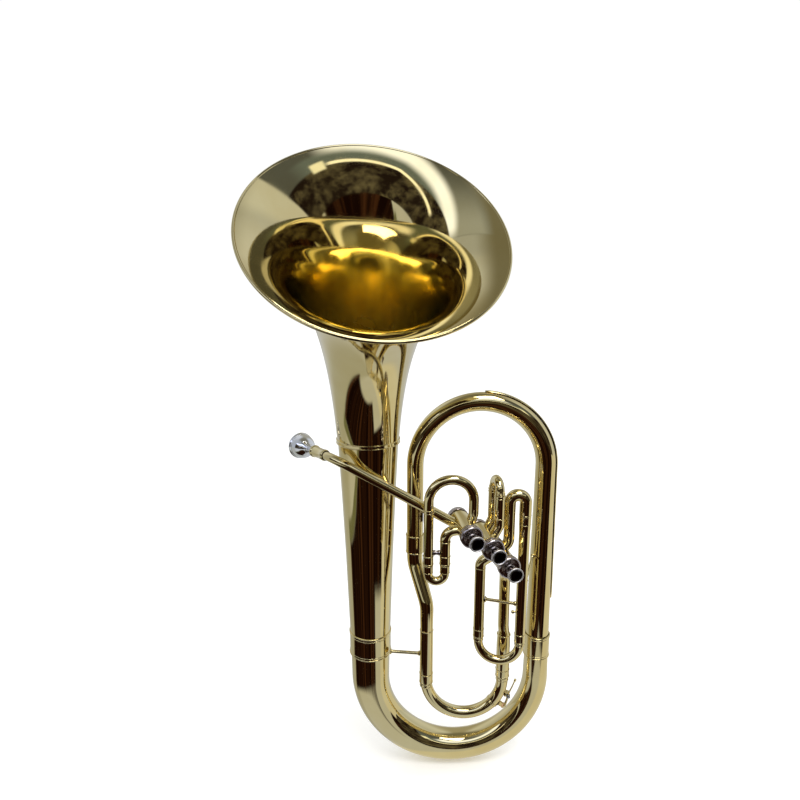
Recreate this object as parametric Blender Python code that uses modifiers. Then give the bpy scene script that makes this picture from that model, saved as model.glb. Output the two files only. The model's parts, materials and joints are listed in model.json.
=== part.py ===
"""Bell-front euphonium with three front-action piston valves.

Metres, +Z up.  The player stands at +Y and the bell, the valve caps and the
finger buttons face -Y.  Lengths below are millimetres until mm() is applied.
"""

import math

import bmesh
import bpy
import numpy as np
from mathutils import Matrix, Vector

# ----------------------------------------------------------------- dimensions
ORIGIN = (26.92, -106.17, -0.8)       # taken off every point, centres the base

WALL = 0.7                         # sheet brass
GAP = 0.3                          # between soldered neighbours

STACK_X = -42.8                    # bell stem axis
STEM_TOP_Z, STEM_BOTTOM_Z = 495.8, 180.0
STEM_TOP_R, STEM_BOTTOM_R = 40.7, 27.8
BELL_FOOT_Z = 488.0                # where the curve of the bell begins, inside the stem

RIM_CENTRE = (-23.6, -161.1, 755.4)
RIM_NORMAL = (0.144, -0.705, 0.694)
BELL_RADIUS = 140.0                # eleven inch bell
BELL_FLARE = 0.62                  # exponent of the flare
BELL_THROAT_R = 40.4
BELL_REACH = (205.0, 175.0)        # tangent lengths of the bent axis
RIM_WIRE_R = 2.4

BRANCH_X = 198.0                   # outer branch axis
BOW_Z = 141.0                      # centre height of the bottom bow
BOW_FERRULE_Z = 180.0
BOW_SMALL_R = 16.8
INNER_X = 20.7                     # inner branch axis
TOP_BOW_Z = 459.0
BRANCH_TOP_R, INNER_R = 12.9, 11.4

TUNE_Y = -20.0
TUNE_LEFT_X, TUNE_RIGHT_X = 37.4, 146.2
TUNE_Z = 145.0
TUNE_SLIDE_R, TUNE_SLEEVE_R = 8.3, 9.7

VALVE_YAW = math.radians(11.0)
VALVE_REAR = ((77.0, -20.0, 393.0), (104.4, -20.0, 376.0), (125.2, -20.0, 352.0))
CASING_R, CASING_WALL = 13.0, 0.8
CASING_T = (2.0, 64.0)
CAP_R = 14.6
PISTON_R = 11.4
BUTTON_R = 10.0
STROKE = 10.4

SLIDE_R = 5.7                      # sliding legs of the valve slides
SLEEVE_R = 6.9                     # the tubes they run in
LOOP_R = 6.4                       # plain valve tubing
THIRD_SLIDE_R, THIRD_SLEEVE_R = 6.2, 7.4

RECEIVER_DIR = (-0.56, 0.826, -0.06)

# ------------------------------------------------------------------ materials
BRASS = ("lacquered_brass", (0.72, 0.50, 0.18), 0.16, 1.0)
NICKEL = ("nickel_silver", (0.50, 0.46, 0.42), 0.2, 1.0)
SILVER = ("silver_plate", (0.86, 0.86, 0.85), 0.12, 1.0)
STEEL = ("spring_steel", (0.42, 0.42, 0.44), 0.35, 1.0)
FELT = ("felt", (0.14, 0.13, 0.12), 0.95, 0.0)
CORK = ("cork", (0.55, 0.36, 0.18), 0.9, 0.0)

for old in list(bpy.data.objects):
    bpy.data.objects.remove(old, do_unlink=True)

PARTS = bpy.data.collections.new("euphonium")
CUTTERS = bpy.data.collections.new("cutters")
bpy.context.scene.collection.children.link(PARTS)
bpy.context.scene.collection.children.link(CUTTERS)


def mm(p):
    return Vector(((p[0] - ORIGIN[0]) * 0.001, (p[1] - ORIGIN[1]) * 0.001,
                   (p[2] - ORIGIN[2]) * 0.001))


def unit(v):
    v = np.asarray(v, float)
    return v / np.linalg.norm(v)


def dress(obj, spec):
    name, colour, rough, metal = spec
    mat = bpy.data.materials.new(obj.name + "_" + name)
    mat.use_nodes = True
    shader = mat.node_tree.nodes["Principled BSDF"]
    shader.inputs["Base Color"].default_value = (*colour, 1.0)
    shader.inputs["Roughness"].default_value = rough
    shader.inputs["Metallic"].default_value = metal
    obj.data.materials.append(mat)


def place(obj, spec):
    PARTS.objects.link(obj)
    dress(obj, spec)
    return obj


# ---------------------------------------------------------------------- paths
def fillet(verts, radii, step=15.0):
    """Straight runs joined by arcs; radii holds one bend radius per inner corner."""
    pts = [np.asarray(verts[0], float)]
    for i in range(1, len(verts) - 1):
        p = np.asarray(verts[i], float)
        a = unit(np.asarray(verts[i - 1], float) - p)
        b = unit(np.asarray(verts[i + 1], float) - p)
        turn = math.pi - math.acos(max(-1.0, min(1.0, float(a @ b))))
        r = radii[i - 1]
        reach = r * math.tan(turn / 2)
        centre = p + unit(a + b) * math.hypot(r, reach)
        start = p + a * reach - centre
        side = unit(unit(p + b * reach - centre) - unit(start) * float(unit(start) @ unit(p + b * reach - centre)))
        count = max(2, int(round(math.degrees(turn) / step)))
        for k in range(count + 1):
            t = turn * k / count
            q = centre + r * (unit(start) * math.cos(t) + side * math.sin(t))
            if np.linalg.norm(q - pts[-1]) > 0.05:
                pts.append(q)
    end = np.asarray(verts[-1], float)
    if np.linalg.norm(end - pts[-1]) > 0.05:
        pts.append(end)
    return pts


def u_bend(left, right, straight_left, straight_right, down=True, step=18.0):
    """A leg, a half circle and a leg; left and right are the ends of the half circle."""
    left, right = np.asarray(left, float), np.asarray(right, float)
    centre, r = (left + right) / 2, np.linalg.norm(right - left) / 2
    along = unit(right - left)
    dip = np.array([0, 0, -1.0 if down else 1.0])
    dip = unit(dip - along * float(dip @ along))
    pts = [left - dip * straight_left] if straight_left > 0 else []
    count = int(round(180 / step))
    for k in range(count + 1):
        t = math.pi * k / count
        pts.append(centre - along * r * math.cos(t) + dip * r * math.sin(t))
    if straight_right > 0:
        pts.append(right - dip * straight_right)
    return pts


def lengths(pts):
    steps = [0.0] + [float(np.linalg.norm(np.subtract(q, p))) for p, q in zip(pts, pts[1:])]
    return np.cumsum(steps)


def taper(pts, stations):
    """Radius at each point from (fraction of length, radius) stations."""
    s = lengths(pts)
    s = s / s[-1]
    return np.interp(s, [a for a, _ in stations], [b for _, b in stations])


# --------------------------------------------------------------------- shapes
def curve_mesh(name, pts, radii, resolution, caps):
    data = bpy.data.curves.new(name, "CURVE")
    data.dimensions = "3D"
    data.bevel_depth = 0.001
    data.bevel_resolution = resolution
    data.use_fill_caps = caps
    data.render_resolution_u = 0
    spline = data.splines.new("POLY")
    spline.points.add(len(pts) - 1)
    origin = mm(pts[0])
    for point, p, r in zip(spline.points, pts, radii):
        point.co = (*(mm(p) - origin), 1.0)
        point.radius = float(r)
    guide = bpy.data.objects.new(name + "_axis", data)
    guide.location = origin
    bpy.context.scene.collection.objects.link(guide)
    bpy.context.view_layer.update()
    mesh = bpy.data.meshes.new_from_object(guide.evaluated_get(bpy.context.evaluated_depsgraph_get()))
    mesh.name = name
    bm = bmesh.new()
    bm.from_mesh(mesh)
    bmesh.ops.remove_doubles(bm, verts=bm.verts, dist=1e-6)
    bmesh.ops.recalc_face_normals(bm, faces=bm.faces)
    bm.to_mesh(mesh)
    bm.free()
    mesh.shade_smooth()
    obj = bpy.data.objects.new(name, mesh)
    obj.matrix_world = guide.matrix_world
    bpy.data.objects.remove(guide, do_unlink=True)
    bpy.data.curves.remove(data)
    return obj


def tube(name, pts, radii, spec=BRASS, wall=WALL, sides=12):
    """Open hollow tube along a path; radii are outside radii."""
    if not hasattr(radii, "__len__"):
        radii = [radii] * len(pts)
    obj = place(curve_mesh(name, pts, radii, (sides - 4) // 2, False), spec)
    # the open surface must face away from the axis
    bm = bmesh.new()
    bm.from_mesh(obj.data)
    bm.faces.ensure_lookup_table()
    f = bm.faces[0]
    mid = f.calc_center_median()
    axis0 = mm(pts[0]) - obj.location
    axis1 = mm(pts[1]) - obj.location
    run = (axis1 - axis0).normalized()
    foot = axis0 + run * (mid - axis0).dot(run)
    if f.normal.dot(mid - foot) < 0:
        bmesh.ops.reverse_faces(bm, faces=bm.faces)
    bm.to_mesh(obj.data)
    bm.free()
    mod = obj.modifiers.new("wall", "SOLIDIFY")
    mod.thickness = wall * 0.001
    mod.offset = -1.0
    mod.use_even_offset = False
    return obj


def rod(name, pts, radii, spec=BRASS, sides=8):
    if not hasattr(radii, "__len__"):
        radii = [radii] * len(pts)
    return place(curve_mesh(name, pts, radii, (sides - 4) // 2, True), spec)


def turned(name, profile, origin, axis, spec, steps=24, closed=False, cutter=False):
    """Profile of (radius, height) points turned about an axis through origin."""
    mesh = bpy.data.meshes.new(name)
    bm = bmesh.new()
    verts = [bm.verts.new((r * 0.001, 0.0, t * 0.001)) for r, t in profile]
    for a, b in zip(verts, verts[1:]):
        bm.edges.new((a, b))
    if closed:
        bm.edges.new((verts[-1], verts[0]))
    bm.to_mesh(mesh)
    bm.free()
    obj = bpy.data.objects.new(name, mesh)
    quat = Vector(axis).to_track_quat("Z", "Y")
    obj.matrix_world = Matrix.Translation(mm(origin)) @ quat.to_matrix().to_4x4()
    mod = obj.modifiers.new("turn", "SCREW")
    mod.steps = steps
    mod.render_steps = steps
    mod.use_merge_vertices = True
    mod.merge_threshold = 0.00001
    mod.use_smooth_shade = True
    mod.use_normal_calculate = False
    if cutter:
        hide(obj)
    else:
        place(obj, spec)
    return obj


def hide(obj):
    CUTTERS.objects.link(obj)
    obj.hide_render = True
    obj.display_type = "WIRE"


def cylinder_cutter(name, a, b, r, steps=24):
    a, b = np.asarray(a, float), np.asarray(b, float)
    h = float(np.linalg.norm(b - a))
    return turned(name, [(0, h), (r, h), (r, 0), (0, 0)], a, b - a, None, steps, cutter=True)


def cut(obj, cutter, operation="DIFFERENCE"):
    mod = obj.modifiers.new(cutter.name, "BOOLEAN")
    mod.operation = operation
    mod.object = cutter
    return obj


def ring(name, centre, axis, r_in, r_out, half, spec=BRASS, steps=20, bead=0.0):
    """Ferrule: a band with optional beads at both ends."""
    profile = [(r_out + bead, half), (r_out + bead, half - 1.6), (r_out, half - 2.0),
               (r_out, -half + 2.0), (r_out + bead, -half + 1.6), (r_out + bead, -half),
               (r_in, -half), (r_in, half)]
    if bead == 0.0:
        profile = [(r_out, half), (r_out, -half), (r_in, -half), (r_in, half)]
    return turned(name, profile, centre, axis, spec, steps, closed=True)


def box(name, centre, size, spec, rotation=None, bevel=0.0, cutter=False):
    bm = bmesh.new()
    bmesh.ops.create_cube(bm, size=1.0)
    bmesh.ops.scale(bm, vec=Vector(size) * 0.001, verts=bm.verts)
    mesh = bpy.data.meshes.new(name)
    bm.to_mesh(mesh)
    bm.free()
    obj = bpy.data.objects.new(name, mesh)
    obj.matrix_world = Matrix.Translation(mm(centre)) @ (rotation or Matrix.Identity(4))
    if bevel:
        mod = obj.modifiers.new("edges", "BEVEL")
        mod.width = bevel * 0.001
        mod.segments = 1
    if cutter:
        hide(obj)
    else:
        place(obj, spec)
    return obj


# ----------------------------------------------------------------------- bell
def bell_axis(count):
    """Hermite curve from the stem to the rim, with its tangents."""
    p0 = np.array([STACK_X, 0.0, BELL_FOOT_Z])
    p1 = np.array(RIM_CENTRE)
    m0 = np.array([0.0, 0.0, 1.0]) * BELL_REACH[0] * 1.5
    m1 = unit(RIM_NORMAL) * BELL_REACH[1] * 1.5
    pts, tans = [], []
    for k in range(count + 1):
        t = k / count
        pts.append((2 * t**3 - 3 * t**2 + 1) * p0 + (t**3 - 2 * t**2 + t) * m0
                   + (-2 * t**3 + 3 * t**2) * p1 + (t**3 - t**2) * m1)
        tans.append(unit((6 * t**2 - 6 * t) * p0 + (3 * t**2 - 4 * t + 1) * m0
                         + (-6 * t**2 + 6 * t) * p1 + (3 * t**2 - 2 * t) * m1))
    return pts, tans


def bell_flare(distance, total):
    """Bessel horn radius at a distance from the rim."""
    ratio = BELL_THROAT_R / BELL_RADIUS
    d0 = total / (ratio ** (-1.0 / BELL_FLARE) - 1.0)
    return BELL_RADIUS * ((distance + d0) / d0) ** (-BELL_FLARE)


def bell_stations(count):
    """Centres, tangents and radii, closer together towards the rim."""
    fine, tans = bell_axis(400)
    s = lengths(fine)
    total = s[-1]
    start = STEM_TOP_Z - BELL_FOOT_Z
    centres, directions, radii = [], [], []
    for k in range(count + 1):
        u = k / count
        want = start + (total - start) * (1 - (1 - u) ** 2.2)
        j = int(np.searchsorted(s, want))
        j = min(max(j, 1), len(fine) - 1)
        w = (want - s[j - 1]) / (s[j] - s[j - 1])
        centres.append(fine[j - 1] * (1 - w) + fine[j] * w)
        directions.append(unit(tans[j - 1] * (1 - w) + tans[j] * w))
        radii.append(bell_flare(total - want, total))
    return centres, directions, radii


def loft(name, rings, spec, sides, wall):
    """Skin over circles of unlike size and tilt, thickened inwards."""
    bm = bmesh.new()
    rows = []
    base = mm(rings[0][0])
    for centre, normal, radius in rings:
        n = Vector(normal)
        side = Vector((1, 0, 0))
        side = (side - n * side.dot(n)).normalized()
        other = n.cross(side)
        row = []
        for k in range(sides):
            a = 2 * math.pi * k / sides
            row.append(bm.verts.new(mm(centre) - base + (side * math.cos(a) + other * math.sin(a)) * radius * 0.001))
        rows.append(row)
    for lower, upper in zip(rows, rows[1:]):
        for k in range(sides):
            m = (k + 1) % sides
            bm.faces.new((lower[k], lower[m], upper[m], upper[k]))
    mesh = bpy.data.meshes.new(name)
    bm.to_mesh(mesh)
    bm.free()
    mesh.shade_smooth()
    obj = bpy.data.objects.new(name, mesh)
    obj.location = base
    place(obj, spec)
    mod = obj.modifiers.new("wall", "SOLIDIFY")
    mod.thickness = wall * 0.001
    mod.offset = -1.0
    return obj


centres, directions, radii = bell_stations(11)
rings = list(zip(centres, directions, radii))
rim_c, rim_n, rim_r = rings[-1]
rings.append((rim_c + rim_n * RIM_WIRE_R * 0.3, rim_n, rim_r + RIM_WIRE_R * 0.6))
loft("bell", rings, BRASS, 32, 1.0)

Z = (0.0, 0.0, 1.0)
ring("bell_ferrule", (STACK_X, 0, STEM_TOP_Z - 0.6), Z, 42.8, 43.4, 2.8, BRASS, 24, 0.7)
stem = [(STACK_X, 0, STEM_TOP_Z - 2.3), (STACK_X, 0, 332), (STACK_X, 0, STEM_BOTTOM_Z)]
tube("bell_stem", stem, taper(stem, [(0, STEM_TOP_R), (0.518, 33.0), (1, STEM_BOTTOM_R)]), sides=20)

# ----------------------------------------------------------------- bottom bow
bow = u_bend((STACK_X, 0, BOW_Z), (BRANCH_X, 0, BOW_Z), BOW_FERRULE_Z - BOW_Z - GAP, BOW_FERRULE_Z - BOW_Z - GAP, step=15)
tube("bottom_bow", bow, taper(bow, [(0, STEM_BOTTOM_R), (0.09, 27.0), (0.5, 21.4), (1, BOW_SMALL_R)]), sides=16)
ring("bow_ferrule_large", (STACK_X, 0, 195.7), Z, 29.6, 30.2, 17.3, BRASS, 18, 0.7)

# ------------------------------------------------------------------ top branch
branch = ([np.array([BRANCH_X, 0, BOW_FERRULE_Z]), np.array([BRANCH_X, 0, 310.0])]
          + u_bend((BRANCH_X, 0, TOP_BOW_Z), (INNER_X, 0, TOP_BOW_Z), 0, 0, down=False, step=15)
          + [np.array([INNER_X, 0, 346.0])])
tube("top_branch", branch, taper(branch, [(0, BOW_SMALL_R), (0.157, 15.6), (0.342, 13.9), (0.609, BRANCH_TOP_R), (0.794, INNER_R), (1, 11.3)]), sides=14)
ring("bow_ferrule_small", (BRANCH_X, 0, 190.0), Z, 18.0, 18.6, 17.0, BRASS, 18, 0.7)
ring("branch_sleeve", (INNER_X, 0, 346.0), Z, 12.3, 12.9, 13.0, BRASS, 16, 0.4)
offset = fillet([(INNER_X, 0, 346 - GAP), (INNER_X, 0, 318), (TUNE_LEFT_X, TUNE_Y, 262), (TUNE_LEFT_X, TUNE_Y, 225)], [40, 40], 20.0)
tube("offset_tube", offset, taper(offset, [(0, 11.3), (1, 9.0)]), sides=12)

# guard strip on the outside of the top bow
def guard_points():
    """Outline in the plane of the bow, just outside its tube."""
    pts = []
    mid = (BRANCH_X + INNER_X) / 2
    arm = (BRANCH_X - INNER_X) / 2
    for deg in range(88, -1, -8):
        a = math.radians(deg)
        pts.append((mid + (arm + 14.1 + 0.9 * (1 - deg / 90)) * math.cos(a), TOP_BOW_Z + (arm + 14.1 + 0.9 * (1 - deg / 90)) * math.sin(a)))
    for z in (440.0, 350.0, 262.0):
        pts.append((BRANCH_X + 14.9 + (TOP_BOW_Z - z) * 0.0104, z))
    return pts


data = bpy.data.curves.new("top_bow_guard", "CURVE")
data.dimensions = "2D"
data.fill_mode = "NONE"
data.extrude = 0.0042
data.bevel_depth = 0.0007
data.bevel_resolution = 0
data.use_fill_caps = True
data.render_resolution_u = 0
spline = data.splines.new("POLY")
strip = guard_points()
spline.points.add(len(strip) - 1)
for point, (x, z) in zip(spline.points, strip):
    point.co = ((x - ORIGIN[0]) * 0.001, (z - ORIGIN[2]) * 0.001, 0.0, 1.0)
guide = bpy.data.objects.new("guard_axis", data)
guide.matrix_world = Matrix.Translation((0, -ORIGIN[1] * 0.001, 0)) @ Matrix.Rotation(math.radians(90), 4, "X")
bpy.context.scene.collection.objects.link(guide)
bpy.context.view_layer.update()
mesh = bpy.data.meshes.new_from_object(guide.evaluated_get(bpy.context.evaluated_depsgraph_get()))
bm = bmesh.new()
bm.from_mesh(mesh)
bmesh.ops.remove_doubles(bm, verts=bm.verts, dist=1e-6)
bmesh.ops.recalc_face_normals(bm, faces=bm.faces)
bm.to_mesh(mesh)
bm.free()
guard = bpy.data.objects.new("top_bow_guard", mesh)
guard.matrix_world = guide.matrix_world
place(guard, BRASS)
bpy.data.objects.remove(guide, do_unlink=True)

# --------------------------------------------------------------------- valves
AX = np.array([math.sin(VALVE_YAW), -math.cos(VALVE_YAW), 0.0])   # rear to front


def on_valve(i, t):
    return np.array(VALVE_REAR[i]) + AX * t


def at_y(i, y):
    """Point of a valve's axis at a given Y."""
    t = (VALVE_REAR[i][1] - y) / math.cos(VALVE_YAW)
    return on_valve(i, t)


casing_cut = [cylinder_cutter(f"casing_cut_{i + 1}", on_valve(i, -4), on_valve(i, 78), CASING_R + GAP, 20) for i in range(3)]

t0, t1 = CASING_T
for i in range(3):
    n = str(i + 1)
    o = VALVE_REAR[i]
    inner = CASING_R - CASING_WALL
    turned("valve_casing_" + n, [(CASING_R, t1), (CASING_R, t0), (inner, t0), (inner, t1)], o, AX, BRASS, 16, closed=True)
    turned("top_cap_" + n, [(3.4, 70), (12.4, 70), (CAP_R, 67.8), (CAP_R, 59.5), (CASING_R + 0.5, 59.5),
                            (CASING_R + 0.5, 64.4), (11.6, 64.4), (3.4, 67.4)], o, AX, NICKEL, 18, closed=True)
    turned("bottom_cap_" + n, [(0, 1.6), (CASING_R + 0.5, 1.6), (CASING_R + 0.5, 8.0), (CAP_R, 8.0), (CAP_R, 0.2),
                               (12.6, -1.6), (0, -1.6)], o, AX, NICKEL, 18)
    piston = turned("piston_" + n, [(0, 62), (PISTON_R, 62), (PISTON_R, 22), (9.0, 22), (9.0, 59), (0, 59)], o, AX, NICKEL, 20)
    port = cylinder_cutter(f"piston_port_{n}", on_valve(i, 36) - np.array([0, 0, 20.0]), on_valve(i, 36) + np.array([0, 0, 20.0]), 5.4, 12)
    cut(piston, port)
    turned("finger_button_" + n, [(0, 87.5), (8.2, 87.5), (BUTTON_R, 88.3), (BUTTON_R, 84.4), (8.4, 83.2), (2.6, 83.2), (2.6, 62.3), (0, 62.3)],
           o, AX, NICKEL, 16)
    turned("valve_felt_" + n, [(7.4, 82.9), (7.4, 81.0), (3.1, 81.0), (3.1, 82.9)], o, AX, FELT, 12, closed=True)
    coil = []
    side = np.array([math.cos(VALVE_YAW), math.sin(VALVE_YAW), 0.0])
    turns, per = 4, 7
    for k in range(turns * per + 1):
        a = 2 * math.pi * k / per
        coil.append(on_valve(i, 2.6 + 18.6 * k / (turns * per)) + 10.2 * (side * math.cos(a) + np.array([0, 0, 1.0]) * math.sin(a)))
    rod("valve_spring_" + n, coil, 0.6, STEEL, sides=6)


def between(i, j, y, name):
    a, b = at_y(i, y), at_y(j, y)
    obj = tube(name, [a, a * 0.5 + b * 0.5, b], LOOP_R, BRASS, sides=10)
    cut(obj, casing_cut[i])
    cut(obj, casing_cut[j])
    return obj


between(0, 1, -46.0, "valve_knuckle_1_2")
between(1, 2, -60.0, "valve_knuckle_2_3")

# ----------------------------------------------------------------- tuning slide
tube("tuning_sleeve_left", [(TUNE_LEFT_X, TUNE_Y, 225 - GAP), (TUNE_LEFT_X, TUNE_Y, 190), (TUNE_LEFT_X, TUNE_Y, TUNE_Z - 4)], TUNE_SLEEVE_R, BRASS, 0.6, 14)
tune_up = fillet([(TUNE_RIGHT_X, TUNE_Y, TUNE_Z + 6), (TUNE_RIGHT_X, TUNE_Y, 222), (TUNE_RIGHT_X - 1, TUNE_Y, 230), (TUNE_RIGHT_X - 1.5, TUNE_Y, 306), (142.0, -36.0, 333.0), (128.7, -38.0, 352.0)], [60, 60, 18, 16], 20)
right = tube("tuning_sleeve_right", tune_up, taper(tune_up, [(0, TUNE_SLEEVE_R), (0.30, TUNE_SLEEVE_R), (0.36, 7.6), (1, 7.4)]), BRASS, 0.6, 14)
cut(right, casing_cut[2])
crook = u_bend((TUNE_LEFT_X, TUNE_Y, TUNE_Z), (TUNE_RIGHT_X, TUNE_Y, TUNE_Z), 58, 58, step=18)
tube("tuning_slide", crook, TUNE_SLIDE_R, BRASS, 0.6, 14)

# water key on the tuning crook, in the plane of the crook
cx = (TUNE_LEFT_X + TUNE_RIGHT_X) / 2
crook_r = (TUNE_RIGHT_X - TUNE_LEFT_X) / 2


def on_crook(deg, out):
    a = math.radians(deg)
    return np.array([cx + (crook_r + out) * math.cos(a), TUNE_Y, TUNE_Z + (crook_r + out) * math.sin(a)])


nipple_dir = on_crook(-37, 1) - on_crook(-37, 0)
nipple_at = on_crook(-37, TUNE_SLIDE_R + GAP)
turned("water_key_nipple", [(3.6, 5.2), (3.6, 1.0), (4.6, -0.0), (2.0, -0.0), (2.0, 5.2)][::1], nipple_at, nipple_dir, BRASS, 14, closed=True)
pivot = on_crook(-21, TUNE_SLIDE_R + 5.2)
pivot_dir = unit(on_crook(-21, 1) - on_crook(-21, 0))
tang = np.array([-pivot_dir[2], 0, pivot_dir[0]])
turn = Matrix(((pivot_dir[0], 0, tang[0]), (0, 1, 0), (pivot_dir[2], 0, tang[2]))).to_4x4()
saddle = box("water_key_saddle", pivot - pivot_dir * 1.2, (7.6, 10.0, 6.0), BRASS, turn, 0.5)
slot = box("saddle_slot", pivot + pivot_dir * 1.4, (8.6, 6.2, 9.0), None, turn, cutter=True)
bore = cylinder_cutter("saddle_bore", pivot + np.array([0, -9.0, 0]), pivot + np.array([0, 9.0, 0]), 1.25, 12)
cut(cut(saddle, slot), bore)
turned("water_key_pin", [(0, 8.4), (0.85, 8.4), (0.85, -5.6), (0, -5.6)], pivot, (0, -1, 0), STEEL, 12)
arm_start = nipple_at + nipple_dir * 11.3
arm_mid = pivot + pivot_dir * 1.0
arm_end = on_crook(-1, TUNE_SLIDE_R + 11.0)
lever = rod("water_key_lever", [arm_start - nipple_dir * 0.0, arm_start * 0.5 + arm_mid * 0.5 + pivot_dir * 0.6, arm_mid, arm_mid * 0.5 + arm_end * 0.5 + pivot_dir * 0.4, arm_end], [2.2, 1.9, 2.9, 1.1, 1.7], BRASS, 8)
cut(lever, cylinder_cutter("lever_bore", pivot + np.array([0, -9.0, 0]), pivot + np.array([0, 9.0, 0]), 1.2, 12))
turned("water_key_cork", [(0, 2.4), (3.4, 2.4), (3.4, 0), (0, 0)], nipple_at + nipple_dir * 5.5, nipple_dir, CORK, 12)
coil = []
for k in range(19):
    a = 2 * math.pi * k / 7
    coil.append(pivot + np.array([0, -7.7 + 1.9 * k / 18, 0]) + 2.4 * (pivot_dir * math.cos(a) + tang * math.sin(a)))
rod("water_key_spring", coil, 0.35, STEEL, 6)

# ------------------------------------------------------------------- leadpipe
lead = fillet([(-101.3, -19.4, 480.0), (-82.3, -47.5, 482.0), (66.0, -44.0, 397.0), (80.0, -43.0, 390.5)], [34, 20], 15)
leadpipe = tube("leadpipe", lead, taper(lead, [(0, 5.7), (0.25, 6.2), (1, 6.6)]), BRASS, 0.6, 12)
cut(leadpipe, casing_cut[0])
rdir = unit(RECEIVER_DIR)
rec_start = np.array([-101.3, -19.4, 480.0])
turned("mouthpiece_receiver", [(7.9, 26), (8.4, 25), (8.4, 22.5), (7.3, 21.5), (7.3, -3.0), (8.1, -3.6), (8.1, -8.0), (6.4, -8.0), (6.4, 26)],
       rec_start, rdir, BRASS, 16, closed=True)
mouth = rec_start + rdir * 4.0
turned("mouthpiece", [(17.2, 68.0), (18.4, 66.8), (18.4, 64.8), (16.6, 61.0), (15.4, 54.0), (12.4, 46.0), (7.2, 41.0), (5.2, 36.0), (5.6, 24.0), (5.0, 0.0),
                      (3.6, 0.0), (2.6, 36.0), (4.2, 42.0), (9.0, 48.0), (11.8, 55.0), (12.8, 66.0), (14.4, 68.2)],
       mouth, rdir, SILVER, 18, closed=True)

# lyre box with its screw, soldered to the inner branch
LYRE = (INNER_X + 16.5, -4.0, 385.0)
box("lyre_box", LYRE, (9.4, 9.6, 14.0), NICKEL, None, 0.5)
cut(bpy.data.objects["lyre_box"], box("lyre_slot", LYRE, (5.0, 5.0, 20.0), None, cutter=True))
cut(bpy.data.objects["lyre_box"], cylinder_cutter("lyre_thread", LYRE, (LYRE[0], LYRE[1] - 12.0, LYRE[2]), 2.1, 16))
turned("lyre_screw", [(0, 8.6), (4.4, 8.6), (4.4, 5.4), (1.6, 5.2), (1.6, 0), (0, 0)], (LYRE[0], LYRE[1] - 3.0, LYRE[2]), (0, -1, 0), NICKEL, 12)

# ---------------------------------------------------------------- first slide
F_Y = -62.0
up = fillet([(88.5, -56.5, 396), (94.4, -57.0, 412), (94.4, -57.0, 459.0), (36.6, F_Y, 459.0), (36.6, F_Y, 345 + GAP)], [14, 28.0, 28.0], 22.5)
first_up = tube("first_slide_upper_tube", up, taper(up, [(0, LOOP_R), (0.62, LOOP_R), (0.66, SLEEVE_R), (1, SLEEVE_R)]), BRASS, 0.6, 12)
cut(first_up, casing_cut[0])
low = fillet([(58.2, F_Y, 345 + GAP), (58.2, F_Y, 390.5), (86.0, F_Y + 2.0, 392.5)], [12], 22.5)
first_low = tube("first_slide_lower_tube", low, SLEEVE_R, BRASS, 0.6, 12)
cut(first_low, casing_cut[0])
tube("first_slide", u_bend((36.6, F_Y, 332), (58.2, F_Y, 332), 34, 34, step=22.5), SLIDE_R, BRASS, 0.6, 12)

# --------------------------------------------------------------- second slide
sa = np.array([122.4, -37.0, 0.0])
sb = np.array([126.6, -62.6, 0.0])
for label, foot, target_y in (("rear", sa, -40.0), ("front", sb, -62.0)):
    aim = at_y(1, target_y)
    p = fillet([foot + (0, 0, 440.0), foot + (0, 0, 398.0), aim + np.array([4.0, 0, 3.5])], [12], 22.5)
    obj = tube(f"second_slide_{label}_tube", p, SLEEVE_R, BRASS, 0.6, 12)
    cut(obj, casing_cut[1])
    cut(obj, casing_cut[2])
tube("second_slide", u_bend(sa + (0, 0, 443.0), sb + (0, 0, 443.0), 28, 28, down=False, step=22.5), SLIDE_R, BRASS, 0.6, 12)

# ---------------------------------------------------------------- third slide
TL = np.array([107.8, -38.0, 0.0])
TR = np.array([163.0, -47.0, 0.0])
low = fillet([TL + (0, 0, 226.0), TL + (0, 0, 336.0), (127.0, -40.0, 349.0)], [12], 22.5)
third_low = tube("third_slide_lower_tube", low, THIRD_SLEEVE_R, BRASS, 0.6, 12)
cut(third_low, casing_cut[2])
top_l = np.array([143.0, -46.0, 424.0])
top_r = TR + (0, 0, 424.0)
up = [np.array([128.6, -44.0, 352.0])] + fillet([(134.0, -44.5, 358.0), (143.0, -46.0, 368.0), (143.0, -46.0, 424.0)], [14], 22.5)
up = up + u_bend(top_l, top_r, 0, 0, down=False, step=22.5)[1:] + [TR + (0, 0, 406.0), TR + (0, 0, 402.0), TR + (0, 0, 300.0), TR + (0, 0, 222.0)]
third_up = tube("third_slide_upper_tube", up, taper(up, [(0, 7.2), (0.18, 7.2), (0.25, 8.1), (0.41, 8.1), (0.42, THIRD_SLEEVE_R), (1, THIRD_SLEEVE_R)]), BRASS, 0.6, 12)
cut(third_up, casing_cut[2])
tube("third_slide", u_bend(TL + (0, 0, 219.5), TR + (0, 0, 219.5), 75, 75, step=18), THIRD_SLIDE_R, BRASS, 0.6, 12)


# --------------------------------------------------------------------- braces
def brace(name, a, b, r, flange_a, flange_b, spec=BRASS):
    """Turned stay with a flange at each end."""
    a, b = np.asarray(a, float), np.asarray(b, float)
    h = float(np.linalg.norm(b - a))
    return turned(name, [(0, h), (flange_b, h), (flange_b, h - 1.2), (r, h - 2.4), (r, 2.4), (flange_a, 1.2), (flange_a, 0), (0, 0)], a, b - a, spec, 12)


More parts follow.
